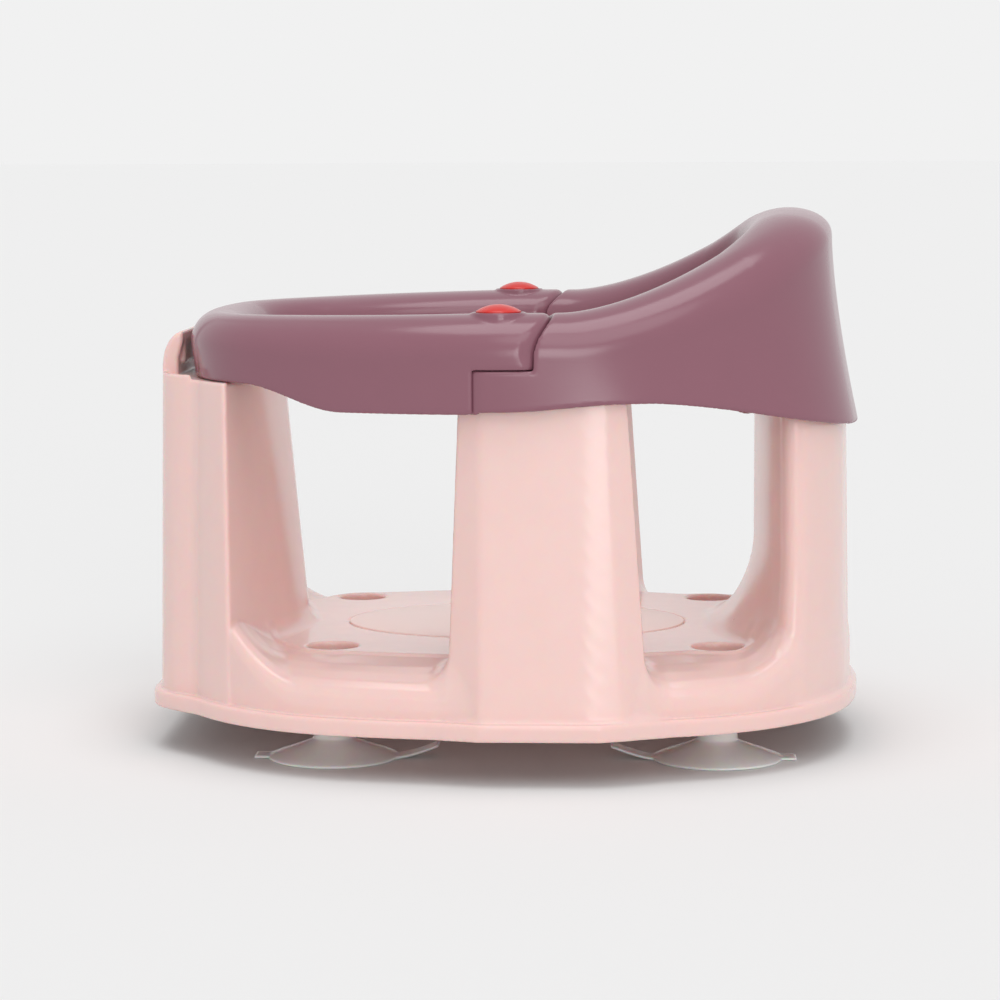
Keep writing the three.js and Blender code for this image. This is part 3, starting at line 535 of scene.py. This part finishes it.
def turned(name, profile, x, y, finish, scale_y=1.0, sides=128, sharp=40):
    """A turned piece from (radius, height) pairs that start and end on the axis."""
    rings = profile[1:-1]
    turn = [i * 2 * math.pi / sides for i in range(sides)]
    verts = [(x, y, profile[0][1])]
    for r, z in rings:
        verts += [(x + r * math.cos(t), y + r * math.sin(t) * scale_y, z) for t in turn]
    verts.append((x, y, profile[-1][1]))
    last = len(verts) - 1
    top = 1 + (len(rings) - 1) * sides
    faces = []
    for i in range(sides):
        j = (i + 1) % sides
        faces.append((0, 1 + j, 1 + i))
        faces.append((last, top + i, top + j))
        for k in range(len(rings) - 1):
            a = 1 + k * sides
            faces.append((a + i, a + j, a + sides + j, a + sides + i))
    mesh = bpy.data.meshes.new(name)
    mesh.from_pydata([Vector(v) * MM for v in verts], [], faces)
    piece = place_mesh(name, mesh, finish)
    mesh.set_sharp_from_angle(angle=math.radians(sharp))
    return piece


def belongs(piece, body, node):
    """Ties a piece to its body and hides the node that it stands for."""
    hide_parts(node)
    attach(piece, body)


# The base

def side_post(x, y, z):
    """The side post with y above 0: a slanted panel, facets, flanks and a nose."""
    share = np.clip((z - FLANGE_LOW) / (SIDE_TOP - FLANGE_LOW), -0.4, 1.05)
    panel = between(SIDE_PANEL_Y, share)
    edge = panel - between(SIDE_EDGE_DEPTH, share)
    front = between(SIDE_FRONT_X, share)
    rear = between(SIDE_REAR_X, share)
    panel_front, panel_rear = SIDE_PANEL_X
    bend = panel_rear + between(SIDE_BEND_RUN, share)
    bend_y = between((panel, edge), SIDE_BEND_SHARE)
    face = both(y - panel, plane(x, y, panel_front, panel, front, edge), PLAIN_EDGE)
    face = both(face, plane(x, y, bend, bend_y, panel_rear, panel), PLAIN_EDGE)
    face = both(face, plane(x, y, rear, edge, bend, bend_y), SIDE_FACE_ROUND)
    flanks = both(plane(x, y, front, edge, front + SIDE_FLANK_LEAN, SIDE_NOSE_Y),
                  plane(x, y, rear - SIDE_FLANK_LEAN, SIDE_NOSE_Y, rear, edge), RIM_EDGE)
    flanks = both(flanks, SIDE_NOSE_Y - y, SIDE_NOSE_ROUND)
    return both(face, flanks, SIDE_EDGE_ROUND)


def panel_plan(x, y):
    """Distance in plan to the raised panel of the front post."""
    out_x = PANEL_X + PANEL_ROUND - x
    out_y = y - PANEL_HALF + PANEL_ROUND
    corner = np.hypot(np.maximum(out_x, 0), np.maximum(out_y, 0))
    return corner + np.minimum(np.maximum(out_x, out_y), 0) - PANEL_ROUND


def front_post(x, y, z, u, v, ledge):
    """The front post without its skin, and whole with the raised panel."""
    share = (z - FLANGE_LOW) / (ledge - FLANGE_LOW)
    inset = between((POST_FOOT_INSET, POST_TOP_INSET), share)
    foot_x = BASE_PLAN["centre_x"] - point_at_y(BASE_PLAN, FRONT_EDGE_Y[0], POST_FOOT_INSET)
    top_x = BASE_PLAN["centre_x"] - point_at_y(BASE_PLAN, FRONT_EDGE_Y[1], POST_TOP_INSET)
    nose = between(FRONT_NOSE_X, share)
    flank = plane(x, y, nose, FRONT_NOSE_Y, between((foot_x, top_x), share), between(FRONT_EDGE_Y, share))
    core = both(flank, x - nose, POST_NOSE_ROUND)
    raised = both(panel_plan(x, y) + inset, x - PANEL_BACK_X, THIN_EDGE)
    whole = either(both(core, inset - u, FRONT_SKIN_ROUND), raised, FRONT_SKIN_ROUND)
    rim = both(np.abs(whole + RIM_WIDTH / 2) - RIM_WIDTH / 2, v + RIM_CLEARANCE, RIM_EDGE)
    rim = both(rim, np.abs(z - ledge) - RIM_RISE, PLAIN_EDGE)
    return core, np.minimum(both(whole, z - ledge, RIM_EDGE), rim)


def rear_post(x, y, z, u, v, facing, crest, roll, flare_size):
    """The rear post: its skin runs from the base's outline up into the flared ring."""
    share = np.clip((z - FLANGE_LOW) / (REAR_BACK_LOW - FLANGE_LOW), -0.4, 1)
    shoulder = crest - roll
    flare = flare_size * facing ** FLARE_POWER * ramp(shoulder, REAR_BACK_LOW, z) ** FLARE_POWER
    skin = (1 - share) * (POST_FOOT_INSET - u) + share * (REAR_SKIN_INSET - flare - v)
    sweep, sweep_top, sweep_height, steepest = REAR_SWEEP
    down = ramp(sweep_top, sweep_top - sweep_height, z) * steepest
    nose = REAR_NOSE_X - sweep * (1 - np.sqrt(1 - down ** 2)) / (1 - math.sqrt(1 - steepest ** 2))
    edge_x = BASE_PLAN["centre_x"] + point_at_y(BASE_PLAN, REAR_EDGE_Y, POST_FOOT_INSET)
    flank = plane(x, y, edge_x, REAR_EDGE_Y, nose, REAR_NOSE_Y)
    core = both(flank, nose - x, POST_NOSE_ROUND)
    post = both(core, skin, REAR_SKIN_ROUND)
    tower_top, tower_half = REAR_TOWER
    return both(post, np.minimum(z - REAR_TOP, np.maximum(z - tower_top, y - tower_half)), TOWER_ROUND)


def base_field(x1, y1, z1, s):
    """The seat base: one moulding of even wall, open below."""
    x2, y2 = np.meshgrid(x1, y1, indexing="ij")
    u2, _ = plan_map(BASE_PLAN, x2, y2)
    v2, cos2 = plan_map(RING_PLAN, x2, y2)
    x, y, u, v = x2[..., None], y2[..., None], u2[..., None], v2[..., None]
    z = z1[None, None, :]
    floor = s["floor"]
    inner = [(FLOOR_INSET, floor), (400, floor), (400, -80)]
    well = np.min([np.hypot(x2 - well_x, y2 - well_y) for well_x, well_y in WELLS], axis=0)
    plateau = FLOOR_INSET - either(FLOOR_INSET - u2, well - WELL_LAND, WELL_BLEND)
    distance_in = between((u2, plateau), ramp(FLOOR_BLEND[0], FLOOR_BLEND[1], u2))
    shell = profile_field(SKIRT + inner, distance_in, z1, SKIRT_SOFTNESS)

    core, front = front_post(x, y, z, u, v, s["ledge"])
    facing = np.maximum(cos2, 0)[..., None]
    rear = rear_post(x, y, z, u, v, facing, s["crest"], s["roll"], s["back_flare"])
    side = side_post(x, y, z)
    tower_top, tower_x = SIDE_TOWER
    side = both(side, np.minimum(z - SIDE_TOP, np.maximum(z - tower_top, tower_x - x)), TOWER_ROUND)

    # The margin climbs to the end posts in curves that are widest at the skirt
    inward = ramp(RAMP_FADE[0], RAMP_FADE[1], u2)
    level = np.argmin(np.abs(z1 - floor - RAMP_LEVEL))
    climbs = []
    for post, (rise, reach, power) in ((core, FRONT_RAMP), (rear, REAR_RAMP)):
        nearness = np.clip(1 - post[..., level] / between(reach, inward), 0, 1)
        climbs.append(rise * nearness ** power)
    climb = (1 - inward) * np.maximum(*climbs)
    for i, j in np.argwhere((climb > 0.01) & (u2 > 0)):
        shell[i, j] = np.interp(z1 - climb[i, j], z1, shell[i, j])

    # The flange follows the outline and swells round the side posts and the raised panel
    outline = either(-u2, polygon(BULGE, x2, y2), BULGE_FILLET)
    panel = np.maximum(panel_plan(x2, y2), x2 - PANEL_BACK_X)
    outline = either(outline, panel, grading(PANEL_FILLET, y2))
    shell = either(shell, both(outline[..., None], z - FLANGE_TOP, FLANGE_ROUND), THIN_EDGE)

    body = either(shell, front, grading(FRONT_FILLET, u))
    body = either(body, rear, grading(REAR_FILLET, u))
    body = either(body, side, grading(SIDE_FILLET, y))
    for points, reach in ((HOOD, HOOD_HALF), (HOOD_BACK, HOOD_BACK_HALF)):
        hood = polygon(points, x1[:, None] - PANEL_X, z1[None, :])
        body = either(body, both(hood[:, None, :], y - reach, RIM_EDGE), SMALL_EDGE)

    half_wall = s["wall"] / 2
    body = np.abs(body + half_wall) - half_wall
    body = both(body, FLANGE_LOW - z, PLAIN_EDGE)
    web_low, web_high = WEB
    for well_x, well_y in WELLS:
        r = np.hypot(x - well_x, y - well_y)
        tube = both(both(r - WELL_OUTER, WELL_LOW - z, SMALL_EDGE), z - floor + 1, SMALL_EDGE)
        body = either(body, tube, PLAIN_EDGE)
        body = less(body, r - WELL_BORE, RIM_EDGE)
        web = both(r - WELL_BORE - 1, np.maximum(z - web_high, web_low - z), FINE_EDGE)
        body = either(body, both(web, WEB_BORE - r, FINE_EDGE), SMALL_EDGE)
    slot = np.maximum(np.abs(x - TONGUE_X) - SLOT_HALF[0], y - SLOT_HALF[1])
    body = less(body, np.maximum(slot, np.abs(z - s["ledge"]) - SLOT_DEPTH), FINE_EDGE)
    half_length, half_width = s["pad_length"] / 2 + LAP_GAP, s["pad_width"] / 2 + LAP_GAP
    recess = (np.hypot((x - BASE_PLAN["centre_x"]) / half_length, y / half_width) - 1) * half_width
    return less(body, np.maximum(recess, floor - PAD_RECESS - z), FINE_EDGE)


# The ring

def ring_fields(x1, y1, z1, s):
    """The whole ring channel's outside and the hollow under it."""
    x2, y2 = np.meshgrid(x1, y1, indexing="ij")
    v2, nx = plan_map(RING_PLAN, x2, y2)
    width = s["ring_width"] - FRONT_NARROWING * np.maximum(-nx, 0) ** NARROWING_POWER
    roll_height, wall, half = s["roll"], s["ring_wall"], width / 2
    ridge_x = x2 + (v2 - half) * nx
    forward = ramp(0, -(RING_FRONT - half), ridge_x)
    back = ramp(s["crest_start"], RING_REAR - half, ridge_x)
    ridge = s["lap_top"] + (s["front_top"] - s["lap_top"]) * forward
    ridge = ridge + (s["crest"] - s["lap_top"]) * back ** CREST_POWER
    outer_x = x2 + v2 * nx
    inner_x = x2 + (v2 - width) * nx
    guard_low = between(GUARD_LOW, smooth(GUARD_DIP[0] - RING_FRONT, GUARD_DIP[1] - RING_FRONT, outer_x))
    rear_low = between(REAR_LOW, smooth(0, REAR_LOW_RUN, outer_x))
    fall = ramp(RING_REAR - RING_FALL_RUN, RING_REAR, outer_x) ** RING_FALL_POWER
    rear_low = rear_low + (RING_REAR_LOW - REAR_LOW[1]) * fall
    outer_low = np.where(outer_x < LAP_STEP_X, guard_low, rear_low)[..., None]
    inner_low = between(INNER_LOW, ramp(INNER_FALL[0], INNER_FALL[1], inner_x))[..., None]
    roll = np.where(v2 < half, np.interp(outer_x, *zip(*OUTER_ROLL)), roll_height)[..., None]
    flare_top = (ridge - roll_height)[..., None]
    ridge, width, half = ridge[..., None], width[..., None], half[..., None]
    v = v2[..., None]
    z = z1[None, None, :]
    share = np.clip((flare_top - z) / (flare_top - outer_low), 0, 1.3)
    flare = s["back_flare"] * np.maximum(nx, 0)[..., None] ** FLARE_POWER * share ** FLARE_POWER
    flare -= FRONT_TUCK * np.maximum(-nx, 0)[..., None] ** TUCK_POWER * share
    face = both(FACE_X - x2[..., None], z - ridge + FACE_BELOW_RIDGE, FACE_ROUND)
    shown = ramp(FACE_FADE[1], FACE_FADE[0], x2[..., None])
    flare -= FACE_DEPTH * shown * smooth(FACE_STEP, -FACE_STEP, face)
    place = np.where(v < half, v + flare, v)

    def channel(thick):
        """The ring's outside, drawn in by a thickness: flat sides under a rounded top."""
        across = (place - half) / (half - thick)
        rise = np.maximum(z - ridge + roll, 0) / (roll - thick)
        steep = ROLL_POWER * rise ** (ROLL_POWER - 1) / (roll - thick)
        slope = np.hypot(2 * across / (half - thick), steep)
        top = np.maximum((across ** 2 + rise ** ROLL_POWER - 1) / np.maximum(slope, 0.03), -15)
        skirts = np.maximum(thick - place, place - width + thick)
        return np.where(z > ridge - roll, top, skirts)

    low = np.where(v < half, outer_low, inner_low)
    return both(channel(0), low - z, RIM_EDGE), channel(wall)


def lap_region(x, r, z, margin, guard):
    """The space of the guard or of the rear ring at the laps, drawn in by a margin."""
    if guard:
        low = np.maximum(r - TONGUE_R - LAP_GAP - margin, z - LAP_PLANE)
        knuckle = both(r - KNUCKLE_R + KNUCKLE_GAP + margin, LAP_PLANE - z, RIM_EDGE)
        return np.minimum(both(x, -low, RIM_EDGE), knuckle)
    top = LAP_PLANE - LAP_GAP - margin
    high = np.maximum(r - KNUCKLE_R - LAP_GAP - margin, top - z)
    return np.minimum(both(-x, -high, RIM_EDGE), both(r - TONGUE_R + margin, z - top, RIM_EDGE))


def ring_part(x1, y1, z1, s, guard):
    """The guard or the rear ring, with what stands under its laps."""
    outer, hollow = ring_fields(x1, y1, z1, s)
    x, y, z = x1[:, None, None], y1[None, :, None], z1[None, None, :]
    r = np.hypot(x, y - LAP_Y)
    seam = GUARD_SEAM_ROUND if guard else REAR_SEAM_ROUND
    above = ramp(SEAM_RISE[0], SEAM_RISE[1], z - LAP_PLANE) * ramp(SEAM_X[0], SEAM_X[1], x)
    body = both(outer, lap_region(x, r, z, 0, guard), between((LAP_ROUND, seam), above))
    body = less(body, np.maximum(hollow, lap_region(x, r, z, s["ring_wall"], guard)), SMALL_EDGE)
    if guard:
        boss = both(r - BOSS_R, z - BOSS_TOP, BOSS_ROUND)
        body = either(body, both(boss, BOSS_UNDER - z, FINE_EDGE), PLAIN_EDGE)
        body = less(body, np.maximum(r - s["button"] - BUTTON_PLAY, LAP_PLANE - 2 - z), BORE_ROUND)
        half_x, half_y = TONGUE_HALF
        tongue = both(np.abs(x - TONGUE_X) - half_x, y - half_y, THIN_EDGE)
        ends = np.maximum(s["ledge"] - TONGUE_DROP - z, z - s["front_top"] + TONGUE_HEAD)
        body = np.minimum(body, both(tongue, ends, THIN_EDGE))
    else:
        bore, outside = SOCKET_R
        bore_depth, depth = SOCKET_DEPTH
        socket = both(r - outside, LAP_PLANE - depth - z, SMALL_EDGE)
        body = np.minimum(body, both(socket, z - LAP_PLANE + SOCKET_TOP, SMALL_EDGE))
        body = less(body, np.maximum(r - bore, LAP_PLANE - bore_depth - z), FINE_EDGE)
    neck = side_post(x, y, z) - BUTTON_PLAY
    return less(body, np.maximum(neck, z - SIDE_TOP - BUTTON_PLAY), FINE_EDGE)


def cup_half(step):
    """A suction cup at the origin with its pull ears along x, as a half field."""
    x1, y1, z1 = grid(*CUP_GRID, step)
    x, y, z = x1[:, None, None], y1[None, :, None], z1[None, None, :]
    cup = profile_field(CUP_PROFILE, np.hypot(x, y)[..., 0], z1, CUP_SOFTNESS)
    for direction, reach, lift in EARS:
        out = x * direction
        rise = lift * np.clip((out - CUP_RADIUS) / reach, 0, 1.2) ** EAR_CURL
        ear = both(y - EAR_HALF, np.abs(z - EAR_MIDDLE - rise) - EAR_HALF_THICKNESS, THIN_EDGE)
        ear = both(ear, np.maximum(out - CUP_RADIUS - reach, EAR_ROOT - out), THIN_EDGE)
        cup = either(cup, ear, EAR_FILLET)
    return cup


# Materials

def add_node(tree, kind, settings=None, **inputs):
    """A shader node with its settings, values and links."""
    node = tree.nodes.new(kind)
    for key, value in (settings or {}).items():
        setattr(node, key, value)
    for key, value in inputs.items():
        socket = node.inputs[key.replace("_", " ")]
        if isinstance(value, bpy.types.NodeSocket):
            tree.links.new(value, socket)
        else:
            socket.default_value = value
    return node


# How far a finish drifts in gloss and tint, the weight of its bumps, and how deep light goes into a plastic
GLOSS_DRIFT = 0.03
TINT_DRIFT = 0.015
BUMP_WEIGHT = 0.5
LIGHT_DEPTH = 3


def finish(name, colour, roughness, pattern, depth, ior=1.5, metallic=0.0, subsurface=0.0):
    """A moulded or drawn surface: its colour and gloss drift a little over a pattern of a size in mm."""
    if name in bpy.data.materials:
        return bpy.data.materials[name]
    material = bpy.data.materials.new(name)
    material.use_nodes = True
    tree = material.node_tree
    tree.nodes.clear()
    place = add_node(tree, "ShaderNodeTexCoord")
    noise = add_node(tree, "ShaderNodeTexNoise", Vector=place.outputs["Object"], Scale=1 / (pattern * MM),
                     Detail=2.0)
    bump = add_node(tree, "ShaderNodeBump", Height=noise.outputs["Fac"], Strength=BUMP_WEIGHT,
                    Distance=depth * MM)
    gloss = add_node(tree, "ShaderNodeMapRange", Value=noise.outputs["Fac"],
                     To_Min=roughness - GLOSS_DRIFT, To_Max=roughness + GLOSS_DRIFT)
    tint = add_node(tree, "ShaderNodeMix", {"data_type": "RGBA"}, Factor=noise.outputs["Fac"])
    tint.inputs[6].default_value = [c * (1 - TINT_DRIFT) for c in colour] + [1]
    tint.inputs[7].default_value = [min(c * (1 + TINT_DRIFT), 1) for c in colour] + [1]
    shader = add_node(tree, "ShaderNodeBsdfPrincipled", Base_Color=tint.outputs[2],
                      Roughness=gloss.outputs["Result"], Normal=bump.outputs["Normal"], IOR=ior,
                      Metallic=metallic, Subsurface_Weight=subsurface, Subsurface_Scale=LIGHT_DEPTH * MM)
    out = add_node(tree, "ShaderNodeOutputMaterial")
    tree.links.new(shader.outputs["BSDF"], out.inputs["Surface"])
    return material


def finish_of(slot):
    """The material of one of the record's slots."""
    colour = {key: tuple(getattr(bpy.context.scene.bath_seat_colours, key))
              for key in BathSeatColours.__annotations__}
    if slot == "pink_plastic":
        # Polypropylene from a polished mould: glossy, faintly wavy, a little light passes the thin walls
        return finish("moulded_polypropylene_pink", colour["pink"], 0.18, 14, 0.05, 1.49, 0, 0.5)
    if slot == "mauve_plastic":
        # Polypropylene from a polished mould, in a deeper tint that shows its highlights more
        return finish("moulded_polypropylene_mauve", colour["mauve"], 0.2, 14, 0.05, 1.49)
    if slot == "red_plastic":
        # ABS from a polished mould: an even, saturated gloss
        return finish("moulded_abs_red", colour["red"], 0.26, 10, 0.03, 1.53)
    if slot == "pad_rubber":
        # Thermoplastic rubber from a grained mould: matt, with a grain of about a millimetre
        return finish("moulded_thermoplastic_rubber", colour["pad"], 0.38, 1.1, 0.02, 1.5, 0, 0.1)
    if slot == "cup_rubber":
        # Soft PVC from a polished mould: smooth and slightly milky
        return finish("moulded_soft_pvc_milky", colour["milky"], 0.25, 8, 0.03, 1.53, 0, 0.6)
    if slot == "white_plastic":
        # Acetal from a plain mould: satin, slightly waxy
        return finish("moulded_acetal_white", colour["white"], 0.4, 6, 0.03, 1.48)
    # Spring and screw steel with a bright zinc coat: fine drawing lines blur what it reflects
    return finish("zinc_plated_steel", colour["steel"], 0.3, 0.8, 0.01, metallic=1.0)


# Operators

class BuildBase(bpy.types.Operator):
    """Build the pink base moulding"""
    bl_idname = "bath_seat.base"
    bl_label = "Base moulding"

    def execute(self, context):
        s = sizes()
        field = base_field(*grid(*BASE_GRID, s["step"]), s)
        piece = field_piece("base_moulding", field, BASE_GRID[0], s["step"], finish_of("pink_plastic"))
        belongs(piece, "base", "seat_base")
        return {"FINISHED"}


class BuildPad(bpy.types.Operator):
    """Build the oval anti-slip pad of the seat floor"""
    bl_idname = "bath_seat.pad"
    bl_label = "Seat pad"

    def execute(self, context):
        s = sizes()
        half, top = s["pad_length"] / 2, s["floor"] + PAD_RISE
        profile = [(0, top - PAD_THICKNESS), (half, top - PAD_THICKNESS), (half, top - 0.5),
                   (half - 0.15, top - 0.15), (half - 0.6, top), (half * 0.5, top), (0, top)]
        piece = turned("anti_slip_pad", profile, BASE_PLAN["centre_x"], 0, finish_of("pad_rubber"),
                       s["pad_width"] / s["pad_length"])
        belongs(piece, "base", "seat_pad")
        return {"FINISHED"}


class BuildRing(bpy.types.Operator):
    """Build the backrest ring and the lift-off guard"""
    bl_idname = "bath_seat.ring"
    bl_label = "Ring and guard"

    def execute(self, context):
        s = sizes()
        field = ring_part(*grid(*RING_GRID, s["step"]), s, False)
        ring = field_piece("backrest_ring", field, RING_GRID[0], s["step"], finish_of("mauve_plastic"))
        belongs(ring, "base", "rear_ring")
        field = ring_part(*grid(*GUARD_GRID, s["step"]), s, True)
        guard = field_piece("lift_off_guard", field, GUARD_GRID[0], s["step"], finish_of("mauve_plastic"))
        belongs(guard, "guard", "front_guard")
        return {"FINISHED"}


class BuildButtons(bpy.types.Operator):
    """Build the two release buttons"""
    bl_idname = "bath_seat.buttons"
    bl_label = "Release buttons"

    def execute(self, context):
        s = sizes()
        radius, dome = s["button"], s["dome"]
        flange, thickness = radius + CAP_FLANGE[0], CAP_FLANGE[1]
        low, edge = BOSS_UNDER - CAP_DROP, BOSS_TOP + CAP_RISE
        profile = [(0, low), (flange, low), (flange, low + thickness), (radius, low + thickness),
                   (radius, edge - FINE_EDGE)]
        dome_radius = radius - FINE_EDGE
        ball = (dome_radius ** 2 + dome ** 2) / (2 * dome)
        for i in range(CAP_RINGS, 0, -1):
            r = dome_radius * i / CAP_RINGS
            profile.append((r, edge + dome - ball + math.sqrt(ball ** 2 - r ** 2)))
        profile.append((0, edge + dome))
        for side, y in (("left", LAP_Y), ("right", -LAP_Y)):
            piece = turned(side + "_button_cap", profile, 0, y, finish_of("red_plastic"))
            belongs(piece, side + "_button", side + "_release_button")
        return {"FINISHED"}


class BuildCups(bpy.types.Operator):
    """Build the four suction cups"""
    bl_idname = "bath_seat.cups"
    bl_label = "Suction cups"

    def execute(self, context):
        half = cup_half(CUP_STEP)
        for end, (x, y), turn in zip(("front", "rear"), WELLS, (1, -1)):
            for side, sign in (("left", 1), ("right", -1)):
                place = end + "_" + side
                name = place + "_cup_rubber"
                cup = field_piece(name, half, CUP_GRID[0], CUP_STEP, finish_of("cup_rubber"))
                cup.data.transform(Matrix.Translation(Vector((x, y * sign, 0)) * MM) @
                                   Matrix.Rotation(math.radians(90 - 90 * turn), 4, "Z"))
                belongs(cup, "base", place + "_suction_cup")
        return {"FINISHED"}


class FinishInnerParts(bpy.types.Operator):
    """Give the springs, latch housings, clips and screws their finish"""
    bl_idname = "bath_seat.inner_parts"
    bl_label = "Latches, springs and screws"

    def execute(self, context):
        for part in frame["record"]["subparts"]:
            node = frame["nodes"][part["node"]]
            node.data.materials.clear()
            node.data.materials.append(finish_of(part["material_slot"]))
        return {"FINISHED"}


class BuildStage(bpy.types.Operator):
    """Build the pale floor, the soft light and the camera"""
    bl_idname = "bath_seat.stage"
    bl_label = "Floor, light and camera"

    def execute(self, context):
        ground = tuple(context.scene.bath_seat_colours.ground) + (1,)
        floor_and_world(context.scene, ground)
        lamps(context.scene)
        photo_camera(context.scene)
        return {"FINISHED"}


# Half the floor's length, in metres
FLOOR_REACH = 120


def floor_and_world(scene, ground):
    """A floor that runs to the horizon and a world of the same tone."""
    scene.view_settings.view_transform = "Standard"
    reach = FLOOR_REACH
    mesh = bpy.data.meshes.new("floor")
    mesh.from_pydata([(-reach, -reach, 0), (reach, -reach, 0), (reach, reach, 0), (-reach, reach, 0)], [],
                     [(0, 1, 2, 3)])
    floor = bpy.data.objects.new("floor", mesh)
    scene.collection.objects.link(floor)
    paint = bpy.data.materials.new("painted_floor")
    paint.use_nodes = True
    tree = paint.node_tree
    tree.nodes.clear()
    coat = add_node(tree, "ShaderNodeBsdfDiffuse", Color=ground)
    out = add_node(tree, "ShaderNodeOutputMaterial")
    tree.links.new(coat.outputs[0], out.inputs["Surface"])
    mesh.materials.append(paint)

    world = bpy.data.worlds.new("studio")
    scene.world = world
    world.use_nodes = True
    tree = world.node_tree
    tree.nodes.clear()
    path = add_node(tree, "ShaderNodeLightPath")
    camera_or_gloss = add_node(tree, "ShaderNodeMath", {"operation": "MAXIMUM"})
    tree.links.new(path.outputs["Is Camera Ray"], camera_or_gloss.inputs[0])
    tree.links.new(path.outputs["Is Glossy Ray"], camera_or_gloss.inputs[1])
    seen = add_node(tree, "ShaderNodeMath", {"operation": "MAXIMUM"})
    tree.links.new(camera_or_gloss.outputs[0], seen.inputs[0])
    tree.links.new(path.outputs["Is Transmission Ray"], seen.inputs[1])
    light = add_node(tree, "ShaderNodeBackground", Color=(1, 1, 1, 1), Strength=DOME_LIGHT)
    backdrop = add_node(tree, "ShaderNodeBackground", Color=ground, Strength=1.0)
    mix = add_node(tree, "ShaderNodeMixShader", Fac=seen.outputs[0])
    tree.links.new(light.outputs[0], mix.inputs[1])
    tree.links.new(backdrop.outputs[0], mix.inputs[2])
    out = add_node(tree, "ShaderNodeOutputWorld")
    tree.links.new(mix.outputs[0], out.inputs["Surface"])


# Light on a level floor adds up to about 1: the dome, and each lamp's strength times its height over pi
DOME_LIGHT = 0.54
LAMPS = (("top", -90, 84, 1.0, 40), ("key", -70, 44, 0.45, 36), ("low", -78, 8, 0.55, 24))


def lamps(scene):
    """Soft suns at the camera's side."""
    for name, azimuth, elevation, strength, spread in LAMPS:
        lamp = bpy.data.lights.new(name, "SUN")
        lamp.energy = strength
        lamp.angle = math.radians(spread)
        holder = bpy.data.objects.new(name, lamp)
        a, e = math.radians(azimuth), math.radians(elevation)
        toward = Vector((math.cos(a) * math.cos(e), math.sin(a) * math.cos(e), math.sin(e)))
        holder.rotation_euler = toward.to_track_quat("Z", "Y").to_euler()
        scene.collection.objects.link(holder)


# The camera's place in millimetres, its turns in degrees (aside, down and about its view) and its focal
# length in thousandths of the frame's width
CAMERA_PLACE = (63.49, -1572.1, 290.46)
CAMERA_TURNS = (2.505, 6.308, -0.234)
CAMERA_FOCAL = 3118.5
SENSOR = 36


def photo_camera(scene):
    """The camera at the photograph's place."""
    camera = bpy.data.cameras.new("view")
    camera.sensor_width = SENSOR
    camera.lens = SENSOR * CAMERA_FOCAL / 1000
    camera.clip_end = 400
    eye = bpy.data.objects.new("view", camera)
    yaw, pitch, roll = CAMERA_TURNS
    eye.matrix_world = (Matrix.Translation(Vector(CAMERA_PLACE) * MM) @
                        Matrix.Rotation(math.radians(yaw), 4, "Z") @
                        Matrix.Rotation(math.radians(90 - pitch), 4, "X") @
                        Matrix.Rotation(math.radians(roll), 4, "Z"))
    scene.collection.objects.link(eye)
    scene.camera = eye


OPERATORS = (BuildBase, BuildPad, BuildRing, BuildButtons, BuildCups, FinishInnerParts, BuildStage)


class BathSeatPanel(bpy.types.Panel):
    """Sizes, colours and build steps of the bath seat"""
    bl_idname = "VIEW3D_PT_bath_seat"
    bl_label = "Bath seat"
    bl_space_type = "VIEW_3D"
    bl_region_type = "UI"
    bl_category = "Bath seat"

    def draw(self, context):
        for group in (context.scene.bath_seat_sizes, context.scene.bath_seat_colours):
            box = self.layout.box()
            for key in type(group).__annotations__:
                box.prop(group, key)
        for operator in OPERATORS:
            self.layout.operator(operator.bl_idname)


CLASSES = (BathSeatSizes, BathSeatColours) + OPERATORS + (BathSeatPanel,)


def register():
    for item in CLASSES:
        bpy.utils.register_class(item)
    bpy.types.Scene.bath_seat_sizes = PointerProperty(type=BathSeatSizes)
    bpy.types.Scene.bath_seat_colours = PointerProperty(type=BathSeatColours)


def unregister():
    del bpy.types.Scene.bath_seat_colours
    del bpy.types.Scene.bath_seat_sizes
    for item in reversed(CLASSES):
        bpy.utils.unregister_class(item)


def main():
    register()
    bpy.ops.bath_seat.base()
    bpy.ops.bath_seat.pad()
    bpy.ops.bath_seat.ring()
    bpy.ops.bath_seat.buttons()
    bpy.ops.bath_seat.cups()
    bpy.ops.bath_seat.inner_parts()
    bpy.ops.bath_seat.stage()


if __name__ == "__main__":
    main()
